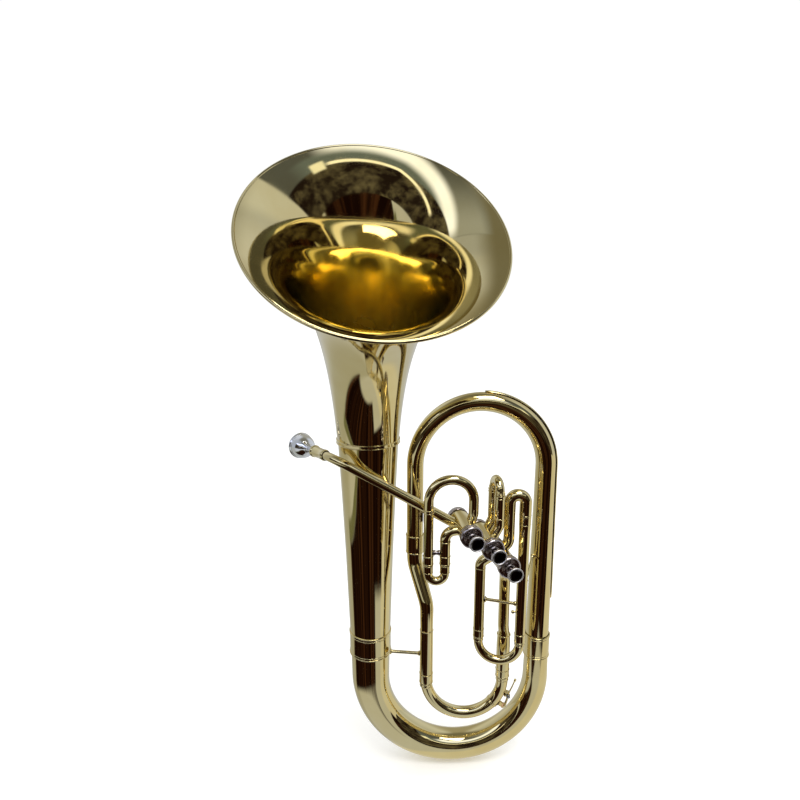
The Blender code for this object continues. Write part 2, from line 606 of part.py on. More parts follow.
brace("bell_brace_lower", (STACK_X + 29.0, -15.0, 186.0), (TUNE_LEFT_X - 10.1, TUNE_Y + 0.4, 186.0), 2.3, 4.4, 3.4)
brace("first_slide_brace", (36.6 + 7.2, F_Y, 361.0), (58.2 - 7.2, F_Y, 361.0), 2.7, 3.4, 3.4, NICKEL)
brace("third_slide_brace", (TL[0] + 7.75, TL[1] - 1.1, 282.0), (TR[0] - 7.75, TR[1] + 1.1, 279.0), 2.2, 4.4, 3.2)
brace("third_slide_stay", (TR[0] + 7.2, TR[1] + 6.0, 312.0), (BRANCH_X - 14.6, -9.0, 330.0), 1.8, 3.2, 3.2)
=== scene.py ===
import json
import math

import bpy
import numpy as np
from mathutils import Matrix, Vector

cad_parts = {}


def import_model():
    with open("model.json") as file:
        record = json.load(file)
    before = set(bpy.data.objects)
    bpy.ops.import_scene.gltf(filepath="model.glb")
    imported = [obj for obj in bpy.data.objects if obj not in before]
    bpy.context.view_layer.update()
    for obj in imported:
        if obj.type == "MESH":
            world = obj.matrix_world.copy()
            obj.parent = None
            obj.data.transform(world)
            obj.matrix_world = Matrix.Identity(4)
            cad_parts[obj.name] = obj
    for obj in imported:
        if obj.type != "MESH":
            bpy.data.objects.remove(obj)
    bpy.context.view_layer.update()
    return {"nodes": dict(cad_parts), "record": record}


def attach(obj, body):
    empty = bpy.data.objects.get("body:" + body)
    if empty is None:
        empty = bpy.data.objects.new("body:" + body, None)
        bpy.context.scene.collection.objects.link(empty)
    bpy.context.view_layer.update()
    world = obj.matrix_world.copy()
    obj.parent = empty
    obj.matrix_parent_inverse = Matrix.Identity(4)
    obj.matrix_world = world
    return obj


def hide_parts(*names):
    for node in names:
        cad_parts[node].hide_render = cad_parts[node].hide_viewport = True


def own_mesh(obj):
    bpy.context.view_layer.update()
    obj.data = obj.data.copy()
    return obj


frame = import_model()

NODES = frame["nodes"]
BODY_OF = {n: b for b, ns in frame["record"]["behaviour"]["bodies"].items() for n in ns}

# ------------------------------------------------------------------ dimensions (mm)
ORIGIN = np.array((26.92, -106.17, -0.8))
STACK_X = -42.8
STEM_TOP_Z, STEM_BOTTOM_Z = 495.8, 180.0
STEM_TOP_R, STEM_BOTTOM_R = 40.7, 27.8
BELL_FOOT_Z = 488.0
RIM_CENTRE = np.array((-23.6, -161.1, 755.4))
RIM_NORMAL = np.array((0.144, -0.705, 0.694))
BELL_RADIUS, BELL_FLARE, BELL_THROAT_R = 140.0, 0.62, 40.4
BELL_REACH = (205.0, 175.0)
BRANCH_X, BOW_Z, BOW_FERRULE_Z, BOW_SMALL_R = 198.0, 141.0, 180.0, 16.8
INNER_X, TOP_BOW_Z = 20.7, 459.0
BRANCH_TOP_R, INNER_R = 12.9, 11.4
TUNE_Y, TUNE_LEFT_X, TUNE_RIGHT_X, TUNE_Z = -20.0, 37.4, 146.2, 145.0
TUNE_SLIDE_R, TUNE_SLEEVE_R = 8.3, 9.7
YAW = math.radians(11.0)
REAR = (np.array((77.0, -20.0, 393.0)), np.array((104.4, -20.0, 376.0)), np.array((125.2, -20.0, 352.0)))
AX = np.array((math.sin(YAW), -math.cos(YAW), 0.0))
CASING_R = 13.0
SLIDE_R, SLEEVE_R, LOOP_R = 5.7, 6.9, 6.4
THIRD_SLIDE_R, THIRD_SLEEVE_R = 6.2, 7.4
RECEIVER_DIR = np.array((-0.56, 0.826, -0.06))
F_Y = -62.0
TL, TR = np.array((107.8, -38.0, 0.0)), np.array((163.0, -47.0, 0.0))
Z = np.array((0.0, 0.0, 1.0))


def unit(v):
    v = np.asarray(v, float)
    return v / np.linalg.norm(v)


RECEIVER_DIR = unit(RECEIVER_DIR)


# ------------------------------------------------------------------ materials
def node(tree, kind, **values):
    n = tree.nodes.new(kind)
    for k, v in values.items():
        setattr(n, k, v)
    return n


def metal(name, light, dark, rough, coat=0.0, tarnish=0.35, scratch=0.035, grain=0.006, stain=None):
    """Polished plate: two-tone base, smudges in the roughness, hairline scratches and a faint peel."""
    m = bpy.data.materials.new(name)
    m.use_nodes = True
    t = m.node_tree
    bsdf = t.nodes["Principled BSDF"]
    bsdf.inputs["Metallic"].default_value = 1.0
    bsdf.inputs["Coat Weight"].default_value = coat
    bsdf.inputs["Coat Roughness"].default_value = 0.03
    bsdf.inputs["Coat IOR"].default_value = 1.5
    coord = node(t, "ShaderNodeTexCoord")
    # slow two-tone drift of the plate colour
    drift = node(t, "ShaderNodeTexNoise")
    drift.inputs["Scale"].default_value = 16.0
    drift.inputs["Detail"].default_value = 5.0
    drift.inputs["Roughness"].default_value = 0.55
    t.links.new(coord.outputs["Object"], drift.inputs["Vector"])
    ramp = node(t, "ShaderNodeValToRGB")
    ramp.color_ramp.elements[0].position = 0.36
    ramp.color_ramp.elements[0].color = (*dark, 1)
    ramp.color_ramp.elements[1].position = 0.36 + tarnish
    ramp.color_ramp.elements[1].color = (*light, 1)
    t.links.new(drift.outputs["Fac"], ramp.inputs["Fac"])
    # small darker specks in the lacquer
    speck = node(t, "ShaderNodeTexVoronoi")
    speck.inputs["Scale"].default_value = 240.0
    t.links.new(coord.outputs["Object"], speck.inputs["Vector"])
    spot = node(t, "ShaderNodeMapRange")
    spot.inputs["From Min"].default_value = 0.0
    spot.inputs["From Max"].default_value = 0.085
    spot.inputs["To Min"].default_value = 0.72
    spot.inputs["To Max"].default_value = 1.0
    t.links.new(speck.outputs["Distance"], spot.inputs["Value"])
    mix = node(t, "ShaderNodeMix", data_type="RGBA", blend_type="MULTIPLY")
    mix.inputs["Factor"].default_value = 0.5
    t.links.new(ramp.outputs["Color"], mix.inputs["A"])
    t.links.new(spot.outputs["Result"], mix.inputs["B"])
    t.links.new(mix.outputs["Result"], bsdf.inputs["Base Color"])
    # handling smudges and fine wipe marks
    smudge = node(t, "ShaderNodeTexNoise")
    smudge.inputs["Scale"].default_value = 42.0
    smudge.inputs["Detail"].default_value = 7.0
    smudge.inputs["Distortion"].default_value = 0.6
    t.links.new(coord.outputs["Object"], smudge.inputs["Vector"])
    stretch = node(t, "ShaderNodeMapping")
    stretch.inputs["Scale"].default_value = (900.0, 900.0, 60.0)
    stretch.inputs["Rotation"].default_value = (0.5, 0.3, 0.2)
    t.links.new(coord.outputs["Object"], stretch.inputs["Vector"])
    wipe = node(t, "ShaderNodeTexNoise")
    wipe.inputs["Scale"].default_value = 1.0
    wipe.inputs["Detail"].default_value = 3.0
    t.links.new(stretch.outputs["Vector"], wipe.inputs["Vector"])
    a = node(t, "ShaderNodeMapRange")
    a.inputs["From Min"].default_value = 0.35
    a.inputs["From Max"].default_value = 0.75
    a.inputs["To Min"].default_value = rough
    a.inputs["To Max"].default_value = rough + 0.07
    t.links.new(smudge.outputs["Fac"], a.inputs["Value"])
    b = node(t, "ShaderNodeMapRange")
    b.inputs["From Min"].default_value = 0.55
    b.inputs["From Max"].default_value = 0.8
    b.inputs["To Min"].default_value = 0.0
    b.inputs["To Max"].default_value = scratch
    t.links.new(wipe.outputs["Fac"], b.inputs["Value"])
    add = node(t, "ShaderNodeMath", operation="ADD")
    t.links.new(a.outputs["Result"], add.inputs[0])
    t.links.new(b.outputs["Result"], add.inputs[1])
    t.links.new(add.outputs[0], bsdf.inputs["Roughness"])
    # hand-buffed surface: very shallow waviness
    wave = node(t, "ShaderNodeTexNoise")
    wave.inputs["Scale"].default_value = 75.0
    wave.inputs["Detail"].default_value = 2.0
    t.links.new(coord.outputs["Object"], wave.inputs["Vector"])
    bump = node(t, "ShaderNodeBump")
    bump.inputs["Strength"].default_value = 1.0
    bump.inputs["Distance"].default_value = grain * 0.001
    t.links.new(wave.outputs["Fac"], bump.inputs["Height"])
    t.links.new(bump.outputs["Normal"], bsdf.inputs["Normal"])
    return m


def soft(name, colour, colour2, rough, scale, bump_mm, sheen=0.0):
    m = bpy.data.materials.new(name)
    m.use_nodes = True
    t = m.node_tree
    bsdf = t.nodes["Principled BSDF"]
    bsdf.inputs["Roughness"].default_value = rough
    bsdf.inputs["Sheen Weight"].default_value = sheen
    coord = node(t, "ShaderNodeTexCoord")
    n = node(t, "ShaderNodeTexNoise")
    n.inputs["Scale"].default_value = scale
    n.inputs["Detail"].default_value = 8.0
    t.links.new(coord.outputs["Object"], n.inputs["Vector"])
    ramp = node(t, "ShaderNodeValToRGB")
    ramp.color_ramp.elements[0].position = 0.3
    ramp.color_ramp.elements[0].color = (*colour2, 1)
    ramp.color_ramp.elements[1].position = 0.7
    ramp.color_ramp.elements[1].color = (*colour, 1)
    t.links.new(n.outputs["Fac"], ramp.inputs["Fac"])
    t.links.new(ramp.outputs["Color"], bsdf.inputs["Base Color"])
    bump = node(t, "ShaderNodeBump")
    bump.inputs["Distance"].default_value = bump_mm * 0.001
    bump.inputs["Strength"].default_value = 1.0
    t.links.new(n.outputs["Fac"], bump.inputs["Height"])
    t.links.new(bump.outputs["Normal"], bsdf.inputs["Normal"])
    return m


MAT = {
    "lacquered_brass": metal("lacquered_brass", (0.80, 0.69, 0.375), (0.75, 0.625, 0.31), 0.03, coat=0.2),
    "nickel": metal("dark_nickel", (0.56, 0.51, 0.50), (0.42, 0.37, 0.36), 0.17, tarnish=0.3, scratch=0.08, grain=0.01),
    "silver_plate": metal("silver_plate", (0.90, 0.90, 0.91), (0.80, 0.80, 0.81), 0.05, scratch=0.05),
    "spring_steel": metal("spring_steel", (0.55, 0.55, 0.57), (0.36, 0.36, 0.38), 0.24, scratch=0.12, grain=0.02),
    "felt": soft("felt", (0.17, 0.15, 0.14), (0.06, 0.055, 0.05), 0.95, 2600.0, 0.25, 0.5),
    "cork": soft("cork", (0.62, 0.41, 0.22), (0.30, 0.17, 0.08), 0.85, 1500.0, 0.2),
}
# button face: near-black plate, a painted dark reflection of the room in the concave nickel face
MAT["button_face"] = metal("button_face", (0.05, 0.045, 0.045), (0.022, 0.02, 0.02), 0.10, coat=0.15, scratch=0.06, grain=0.012)
# button rim: a much lighter plate than the nickel, a painted highlight on the rim
MAT["rim_painted_highlight"] = metal("rim_painted_highlight", (0.97, 0.95, 0.94), (0.86, 0.83, 0.83), 0.42, tarnish=0.2, scratch=0.06, grain=0.01)
# inside of the bell: the same brass, its colour painted a deeper gold down the throat by duller_with_depth
MAT["bell_inside"] = metal("bell_inside", (0.80, 0.69, 0.375), (0.75, 0.625, 0.31), 0.03, coat=0.2)


def duller_with_depth(m):
    """The buffing wheel doesn't reach into the bell, so the plate loses its polish down the throat."""
    t = m.node_tree
    bsdf = t.nodes["Principled BSDF"]
    polished = bsdf.inputs["Roughness"].links[0].from_socket
    coord = node(t, "ShaderNodeTexCoord")
    sub = node(t, "ShaderNodeVectorMath", operation="SUBTRACT")
    sub.inputs[1].default_value = tuple((RIM_CENTRE - ORIGIN) / 1000)
    t.links.new(coord.outputs["Object"], sub.inputs[0])
    dot = node(t, "ShaderNodeVectorMath", operation="DOT_PRODUCT")
    dot.inputs[1].default_value = tuple(-unit(RIM_NORMAL))
    t.links.new(sub.outputs["Vector"], dot.inputs[0])
    depth = node(t, "ShaderNodeMapRange", interpolation_type="SMOOTHSTEP")
    depth.inputs["From Min"].default_value = 0.070
    depth.inputs["From Max"].default_value = 0.190
    depth.inputs["To Min"].default_value = 0.0
    depth.inputs["To Max"].default_value = 0.20
    t.links.new(dot.outputs["Value"], depth.inputs["Value"])
    total = node(t, "ShaderNodeMath", operation="ADD")
    t.links.new(polished, total.inputs[0])
    t.links.new(depth.outputs["Result"], total.inputs[1])
    t.links.new(total.outputs[0], bsdf.inputs["Roughness"])
    # and the plate is painted a deeper gold down the throat: painted light standing in for the light bounced to and fro
    # inside the bell
    plate = bsdf.inputs["Base Color"].links[0].from_socket
    share = node(t, "ShaderNodeMapRange", interpolation_type="SMOOTHSTEP")
    share.inputs["From Min"].default_value = 0.060
    share.inputs["From Max"].default_value = 0.150
    t.links.new(dot.outputs["Value"], share.inputs["Value"])
    painted_bounce_gold = node(t, "ShaderNodeMix", data_type="RGBA", blend_type="MULTIPLY")
    painted_bounce_gold.inputs["B"].default_value = (0.97, 0.95, 0.60, 1)
    t.links.new(share.outputs["Result"], painted_bounce_gold.inputs["Factor"])
    t.links.new(plate, painted_bounce_gold.inputs["A"])
    t.links.new(painted_bounce_gold.outputs["Result"], bsdf.inputs["Base Color"])


duller_with_depth(MAT["bell_inside"])


# ------------------------------------------------------------------ mesh building
class Build:
    """Collects surfaces in millimetres and becomes one object."""

    def __init__(self):
        self.v, self.f, self.m, self.n = [], [], [], 0

    def grid(self, rows, close_u=True, close_v=False, mat=0, flip=False):
        """rows: equal-length rings of points, joined by quads."""
        rows = [np.asarray(r, float) for r in rows]
        k = len(rows[0])
        base = self.n
        for r in rows:
            self.v.append(r)
            self.n += k
        count = len(rows)
        for i in range(count if close_v else count - 1):
            a, b = base + i * k, base + ((i + 1) % count) * k
            for j in range(k if close_u else k - 1):
                q = (a + j, a + (j + 1) % k, b + (j + 1) % k, b + j)
                self.f.append(q[::-1] if flip else q)
                self.m.append(mat)
        return base

    def fan(self, ring, centre, mat=0, flip=False):
        ring = np.asarray(ring, float)
        base = self.n
        self.v.append(ring)
        self.v.append(np.asarray([centre], float))
        self.n += len(ring) + 1
        for j in range(len(ring)):
            q = (base + j, base + (j + 1) % len(ring), base + len(ring))
            self.f.append(q[::-1] if flip else q)
            self.m.append(mat)

    def lathe(self, profile, origin, axis, steps=72, closed=False, mat=0, knurl=None):
        """profile: (radius, height) points. The outside runs from high to low."""
        w = unit(axis)
        u = unit(np.cross(w, (0.31, 0.95, 0.04) if abs(w[1]) < 0.9 else (1.0, 0.05, 0.1)))
        v = np.cross(w, u)
        ang = np.linspace(0, 2 * math.pi, steps, endpoint=False)
        ring = np.outer(np.cos(ang), u) + np.outer(np.sin(ang), v)
        rows = []
        for r, h in profile:
            rr = np.full(steps, max(r, 1e-4))
            if knurl and knurl[0] - 1e-6 <= h <= knurl[1] + 1e-6 and r > knurl[4]:
                rr = rr - knurl[3] * (0.5 - 0.5 * np.cos(ang * knurl[2]))
            rows.append(np.asarray(origin) + w * h + ring * rr[:, None])
        self.grid(rows, close_v=closed, mat=mat, flip=True)

    def ball(self, centre, r, mat=0, steps=20):
        prof = [(r * math.sin(math.pi * k / 12), r * math.cos(math.pi * k / 12)) for k in range(13)]
        self.lathe(prof, centre, Z, steps, mat=mat)

    def tube(self, pts, radii, wall=0.7, sides=40, mat=0, trim_start=None, trim_end=None, lips=True):
        """Hollow tube with rounded rims. trim: (point, axis, radius) of a cylinder that an end butts on."""
        pts = [np.asarray(p, float) for p in pts]
        radii = np.full(len(pts), float(radii)) if not hasattr(radii, "__len__") else np.asarray(radii, float)
        tan, nor = frames(pts)
        ang = np.linspace(0, 2 * math.pi, sides, endpoint=False)
        outer, inner = [], []
        for p, t, n, r in zip(pts, tan, nor, radii):
            b = np.cross(t, n)
            ring = np.outer(np.cos(ang), n) + np.outer(np.sin(ang), b)
            outer.append(p + ring * r)
            inner.append(p + ring * (r - wall))
        for trim, i, sign in ((trim_start, 0, -1.0), (trim_end, -1, 1.0)):
            if trim is not None:
                outer[i] = butt(outer[i], tan[i] * sign, trim)
                inner[i] = butt(inner[i], tan[i] * sign, trim)
        if lips:
            for i, sign, trim in ((0, -1.0, trim_start), (-1, 1.0, trim_end)):
                if trim is None:
                    mid = (outer[i] + inner[i]) / 2 + tan[i] * sign * wall * 0.35
                    if i == 0:
                        outer.insert(0, mid)
                        inner.insert(0, mid.copy())
                    else:
                        outer.append(mid)
                        inner.append(mid.copy())
                    tan = tan if i == -1 else tan
        rows = outer + inner[::-1]
        self.grid(rows, close_v=True, mat=mat)

    def rod(self, pts, radii, sides=16, mat=0, caps=True):
        pts = [np.asarray(p, float) for p in pts]
        radii = np.full(len(pts), float(radii)) if not hasattr(radii, "__len__") else np.asarray(radii, float)
        tan, nor = frames(pts)
        ang = np.linspace(0, 2 * math.pi, sides, endpoint=False)
        rows = []
        for p, t, n, r in zip(pts, tan, nor, radii):
            b = np.cross(t, n)
            rows.append(p + (np.outer(np.cos(ang), n) + np.outer(np.sin(ang), b)) * r)
        if caps:
            for i, sign in ((0, -1.0), (-1, 1.0)):
                extra = []
                for a in (30, 60, 85):
                    c, s = math.cos(math.radians(a)), math.sin(math.radians(a))
                    p, r = pts[i], radii[i]
                    extra.append(p + (rows[i] - p) * c + tan[i] * sign * r * s * 0.6)
                if i == 0:
                    rows = extra[::-1] + rows
                else:
                    rows = rows + extra
            self.grid(rows, mat=mat)
            self.fan(rows[0], rows[0].mean(0), mat, flip=True)
            self.fan(rows[-1], rows[-1].mean(0), mat)
        else:
            self.grid(rows, mat=mat)

    def torus(self, centre, axis, big, small, steps=72, seg=12, mat=0, flat=1.0):
        prof = [(big + small * math.cos(a), small * flat * math.sin(a)) for a in np.linspace(math.pi / 2, -1.5 * math.pi, seg, endpoint=False)]
        self.lathe(prof, centre, axis, steps, closed=True, mat=mat)

    def slab(self, centre, size, rot=None, mat=0, bevel=0.5):
        """Box with chamfered edges, as stacked rings along its local Z."""
        sx, sy, sz = (s / 2 for s in size)
        rot = np.eye(3) if rot is None else np.asarray(rot, float)

        def ring(dx, dy, z):
            b = bevel
            pts = [(dx - b, dy), (dx, dy - b), (dx, -dy + b), (dx - b, -dy), (-dx + b, -dy), (-dx, -dy + b), (-dx, dy - b), (-dx + b, dy)][::-1]
            return np.array([np.asarray(centre) + rot @ np.array((x, y, z)) for x, y in pts])

        rows = [ring(sx - bevel, sy - bevel, -sz), ring(sx, sy, -sz + bevel), ring(sx, sy, sz - bevel), ring(sx - bevel, sy - bevel, sz)]
        self.grid(rows, mat=mat)
        self.fan(rows[0], rows[0].mean(0), mat, flip=True)
        self.fan(rows[-1], rows[-1].mean(0), mat)

    def done(self, name, nodes, slot, mats=None, sharp=38.0, body=None):
        verts = (np.vstack(self.v) - ORIGIN) * 0.001
        mesh = bpy.data.meshes.new(name)
        mesh.from_pydata([tuple(p) for p in verts], [], self.f)
        mesh.update()
        mesh.validate()
        for m in (mats or [MAT[slot]]):
            mesh.materials.append(m)
        if len(mesh.polygons) == len(self.m):
            mesh.polygons.foreach_set("material_index", self.m)
        mesh.shade_smooth()
        mesh.set_sharp_from_angle(angle=math.radians(sharp))
        obj = bpy.data.objects.new(name, mesh)
        bpy.context.scene.collection.objects.link(obj)
        nodes = [nodes] if isinstance(nodes, str) else list(nodes)
        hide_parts(*nodes)
        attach(obj, body or BODY_OF[nodes[0]])
        return obj


def butt(ring, direction, trim):
    """Moves each point along direction until it meets a cylinder."""
    point, axis, radius = (np.asarray(trim[0], float), unit(trim[1]), trim[2])
    d = direction - axis * float(direction @ axis)
    out = []
    for p in ring:
        q = p - point
        q = q - axis * float(q @ axis)
        a, b, c = float(d @ d), 2 * float(q @ d), float(q @ q) - radius * radius
        disc = b * b - 4 * a * c
        if a < 1e-9 or disc <= 0:
            out.append(p)
            continue
        roots = sorted(((-b - math.sqrt(disc)) / (2 * a), (-b + math.sqrt(disc)) / (2 * a)))
        out.append(p + direction * roots[0])
    return np.array(out)


def frames(pts):
    """Tangents and twist-free normals along a path."""
    tan = []
    for i in range(len(pts)):
        a, b = pts[max(i - 1, 0)], pts[min(i + 1, len(pts) - 1)]
        tan.append(unit(b - a))
    first = np.array((0.0, 1.0, 0.0)) if abs(tan[0][1]) < 0.9 else np.array((1.0, 0.0, 0.0))
    n = unit(first - tan[0] * float(first @ tan[0]))
    nor = [n]
    for t in tan[1:]:
        n = unit(n - t * float(n @ t))
        nor.append(n)
    return tan, nor


def fillet(verts, radii, step=4.0):
    pts = [np.asarray(verts[0], float)]
    for i in range(1, len(verts) - 1):
        p = np.asarray(verts[i], float)
        a = unit(np.asarray(verts[i - 1], float) - p)
        b = unit(np.asarray(verts[i + 1], float) - p)
        turn = math.pi - math.acos(max(-1.0, min(1.0, float(a @ b))))
        r = radii[i - 1]
        reach = r * math.tan(turn / 2)
        centre = p + unit(a + b) * math.hypot(r, reach)
        start = unit(p + a * reach - centre)
        end = unit(p + b * reach - centre)
        side = unit(end - start * float(start @ end))
        count = max(3, int(round(math.degrees(turn) / step)))
        for k in range(count + 1):
            t = turn * k / count
            q = centre + r * (start * math.cos(t) + side * math.sin(t))
            if np.linalg.norm(q - pts[-1]) > 0.05:
                pts.append(q)
    end = np.asarray(verts[-1], float)
    if np.linalg.norm(end - pts[-1]) > 0.05:
        pts.append(end)
    return dense(pts)


def dense(pts, most=14.0):
    """Adds points to long straight runs, so that tapers and noise stay smooth."""
    out = [pts[0]]
    for p, q in zip(pts, pts[1:]):
        p, q = np.asarray(p, float), np.asarray(q, float)
        n = max(1, int(np.linalg.norm(q - p) / most))
        for k in range(1, n + 1):
            out.append(p + (q - p) * k / n)
    return out


def u_bend(left, right, straight_left, straight_right, down=True, step=4.0):
    left, right = np.asarray(left, float), np.asarray(right, float)
    centre, r = (left + right) / 2, np.linalg.norm(right - left) / 2
    along = unit(right - left)
    dip = np.array((0, 0, -1.0 if down else 1.0))
    dip = unit(dip - along * float(dip @ along))
    pts = [left - dip * straight_left] if straight_left > 0 else []
    count = int(round(180 / step))
    for k in range(count + 1):
        t = math.pi * k / count
        pts.append(centre - along * r * math.cos(t) + dip * r * math.sin(t))
    if straight_right > 0:
        pts.append(right - dip * straight_right)
    return dense(pts)


def lengths(pts):
    return np.cumsum([0.0] + [float(np.linalg.norm(np.subtract(q, p))) for p, q in zip(pts, pts[1:])])


def taper(pts, stations):
    s = lengths(pts)
    s = s / s[-1]
    return np.interp(s, [a for a, _ in stations], [b for _, b in stations])


def band(r, half, bead=0.7, wide=1.0, inner=None):
    """Closed profile of a ferrule: a band with a rolled bead at each end."""
    inner = r - 0.8 if inner is None else inner
    pts = []
    for k in range(9):
        a = math.pi / 2 - math.pi * k / 8
        pts.append((r + bead * math.cos(a), half - wide + wide * math.sin(a)))
    pts.append((r, half - 2.3 * wide))
    pts.append((r, -half + 2.3 * wide))
    for k in range(9):
        a = math.pi / 2 - math.pi * k / 8
        pts.append((r + bead * math.cos(a), -half + wide + wide * math.sin(a)))
    pts += [(inner, -half), (inner, half)]
    return pts


def ring_line(b, centre, axis, r, bead=0.55, wide=0.7, mat=0):
    """A thin turned ring standing on a tube."""
    prof = [(r - 0.6, wide + 0.2)]
    for k in range(9):
        a = math.pi / 2 - math.pi * k / 8
        prof.append((r - 0.1 + bead * math.cos(a), wide * math.sin(a)))
    prof.append((r - 0.6, -wide - 0.2))
    b.lathe(prof, centre, axis, 56, closed=True, mat=mat)


# ------------------------------------------------------------------ bell
def bell_axis(count=500):
    p0 = np.array((STACK_X, 0.0, BELL_FOOT_Z))
    p1 = RIM_CENTRE
    m0 = np.array((0.0, 0.0, 1.0)) * BELL_REACH[0] * 1.5
    m1 = unit(RIM_NORMAL) * BELL_REACH[1] * 1.5
    pts, tans = [], []
    for k in range(count + 1):
        t = k / count
        pts.append((2 * t**3 - 3 * t**2 + 1) * p0 + (t**3 - 2 * t**2 + t) * m0 + (-2 * t**3 + 3 * t**2) * p1 + (t**3 - t**2) * m1)
        tans.append(unit((6 * t**2 - 6 * t) * p0 + (3 * t**2 - 4 * t + 1) * m0 + (-6 * t**2 + 6 * t) * p1 + (3 * t**2 - 2 * t) * m1))
    return np.array(pts), np.array(tans)


def bell_radius(distance, total):
    d0 = total / ((BELL_THROAT_R / BELL_RADIUS) ** (-1.0 / BELL_FLARE) - 1.0)
    return BELL_RADIUS * ((distance + d0) / d0) ** (-BELL_FLARE)


def bell():
    fine, tans = bell_axis()
    s = lengths(fine)
    total = s[-1]
    sides = 160
    ang = np.linspace(0, 2 * math.pi, sides, endpoint=False)
    n0 = np.array((1.0, 0.0, 0.0))
    outer, inner = [], []
    stations = 110
    lip = BELL_RADIUS - 1.7
    for k in range(stations + 1):
        want = 7.8 + (total - 7.8) * (1 - (1 - k / stations) ** 1.9)
        c = np.array([np.interp(want, s, fine[:, i]) for i in range(3)])
        t = unit([np.interp(want, s, tans[:, i]) for i in range(3)])
        n = unit(n0 - t * float(n0 @ t))
        b = np.cross(t, n)
        ring = np.outer(np.cos(ang), n) + np.outer(np.sin(ang), b)
        r = min(bell_radius(total - want, total) - 1.7 * (want / total) ** 8, lip)
        slope = math.atan(BELL_FLARE * r / ((total - want) + 51.0))
        r_in = r - 0.15
        outer.append(c + ring * (r_in + 0.75 * math.cos(slope)) - t * 0.75 * math.sin(slope))
        inner.append(c + ring * r_in)
        last = (c, t, ring, r_in)
    c, t, ring, r_in = last
    small = 1.75
    bead = []
    for a in np.linspace(math.pi / 2, -1.25 * math.pi, 22):
        bead.append(c + ring * (r_in + small * math.cos(a)) + t * (-small + small * math.sin(a)))
    b = Build()
    b.grid(inner, flip=True, mat=1)
    b.grid([inner[-1]] + bead, flip=True)
    b.grid([bead[-1], outer[-2]], flip=True)
    b.grid(outer[:-1])
    b.grid([outer[0], inner[0]], flip=True)
    return b.done("bell_skin", "bell", "lacquered_brass", [MAT["lacquered_brass"], MAT["bell_inside"]], sharp=60)


bell()

b = Build()
b.lathe(band(42.4, 2.9, 0.75, 0.75, 41.8), (STACK_X, 0, STEM_TOP_Z - 0.6), Z, 144, closed=True)
b.done("bell_ferrule_band", "bell_ferrule", "lacquered_brass")

stem = dense([(STACK_X, 0, STEM_TOP_Z - 2.2), (STACK_X, 0, STEM_BOTTOM_Z)], 8)
b = Build()
b.tube(stem, taper(stem, [(0, STEM_TOP_R), (0.25, 36.7), (0.518, 33.0), (1, STEM_BOTTOM_R)]), sides=96)
b.done("bell_stem_tube", "bell_stem", "lacquered_brass")

b = Build()
b.lathe(band(29.5, 17.3, 0.8, 0.9), (STACK_X, 0, 195.7), Z, 112, closed=True)
ring_line(b, (STACK_X, 0, 208.4), Z, 29.5, 0.5)
ring_line(b, (STACK_X, 0, 182.6), Z, 29.5, 0.5)
b.done("large_ferrule", "bow_ferrule_large", "lacquered_brass")

bow = u_bend((STACK_X, 0, BOW_Z), (BRANCH_X, 0, BOW_Z), 38.7, 38.7, step=2.5)
b = Build()
b.tube(bow, taper(bow, [(0, STEM_BOTTOM_R), (0.09, 27.0), (0.5, 21.4), (1, BOW_SMALL_R)]), sides=88)
b.done("bottom_bow_tube", "bottom_bow", "lacquered_brass")

branch = dense([(BRANCH_X, 0, BOW_FERRULE_Z), (BRANCH_X, 0, TOP_BOW_Z)], 10)[:-1] + u_bend((BRANCH_X, 0, TOP_BOW_Z), (INNER_X, 0, TOP_BOW_Z), 0, 0, down=False, step=2.5) + dense([(INNER_X, 0, TOP_BOW_Z), (INNER_X, 0, 346.0)], 10)[1:]
b = Build()
b.tube(branch, taper(branch, [(0, BOW_SMALL_R), (0.157, 15.6), (0.342, 13.9), (0.609, BRANCH_TOP_R), (0.794, INNER_R), (1, 11.3)]), sides=64)
b.done("top_branch_tube", "top_branch", "lacquered_brass")

b = Build()
b.lathe(band(18.0, 17.0, 0.7, 0.8), (BRANCH_X, 0, 190.0), Z, 88, closed=True)
ring_line(b, (BRANCH_X, 0, 203.0), Z, 18.0, 0.45)
ring_line(b, (BRANCH_X, 0, 177.0), Z, 18.0, 0.45)
b.done("small_ferrule", "bow_ferrule_small", "lacquered_brass")
b = Build()
b.lathe(band(12.3, 13.0, 0.6, 0.8), (INNER_X, 0, 346.0), Z, 72, closed=True)
b.done("branch_sleeve_band", "branch_sleeve", "lacquered_brass")

offset = fillet([(INNER_X, 0, 345.7), (INNER_X, 0, 318), (TUNE_LEFT_X, TUNE_Y, 262), (TUNE_LEFT_X, TUNE_Y, 225)], [40, 40], 3)
b = Build()
b.tube(offset, taper(offset, [(0, 11.3), (1, 9.0)]), sides=56)
b.done("offset_bend", "offset_tube", "lacquered_brass")


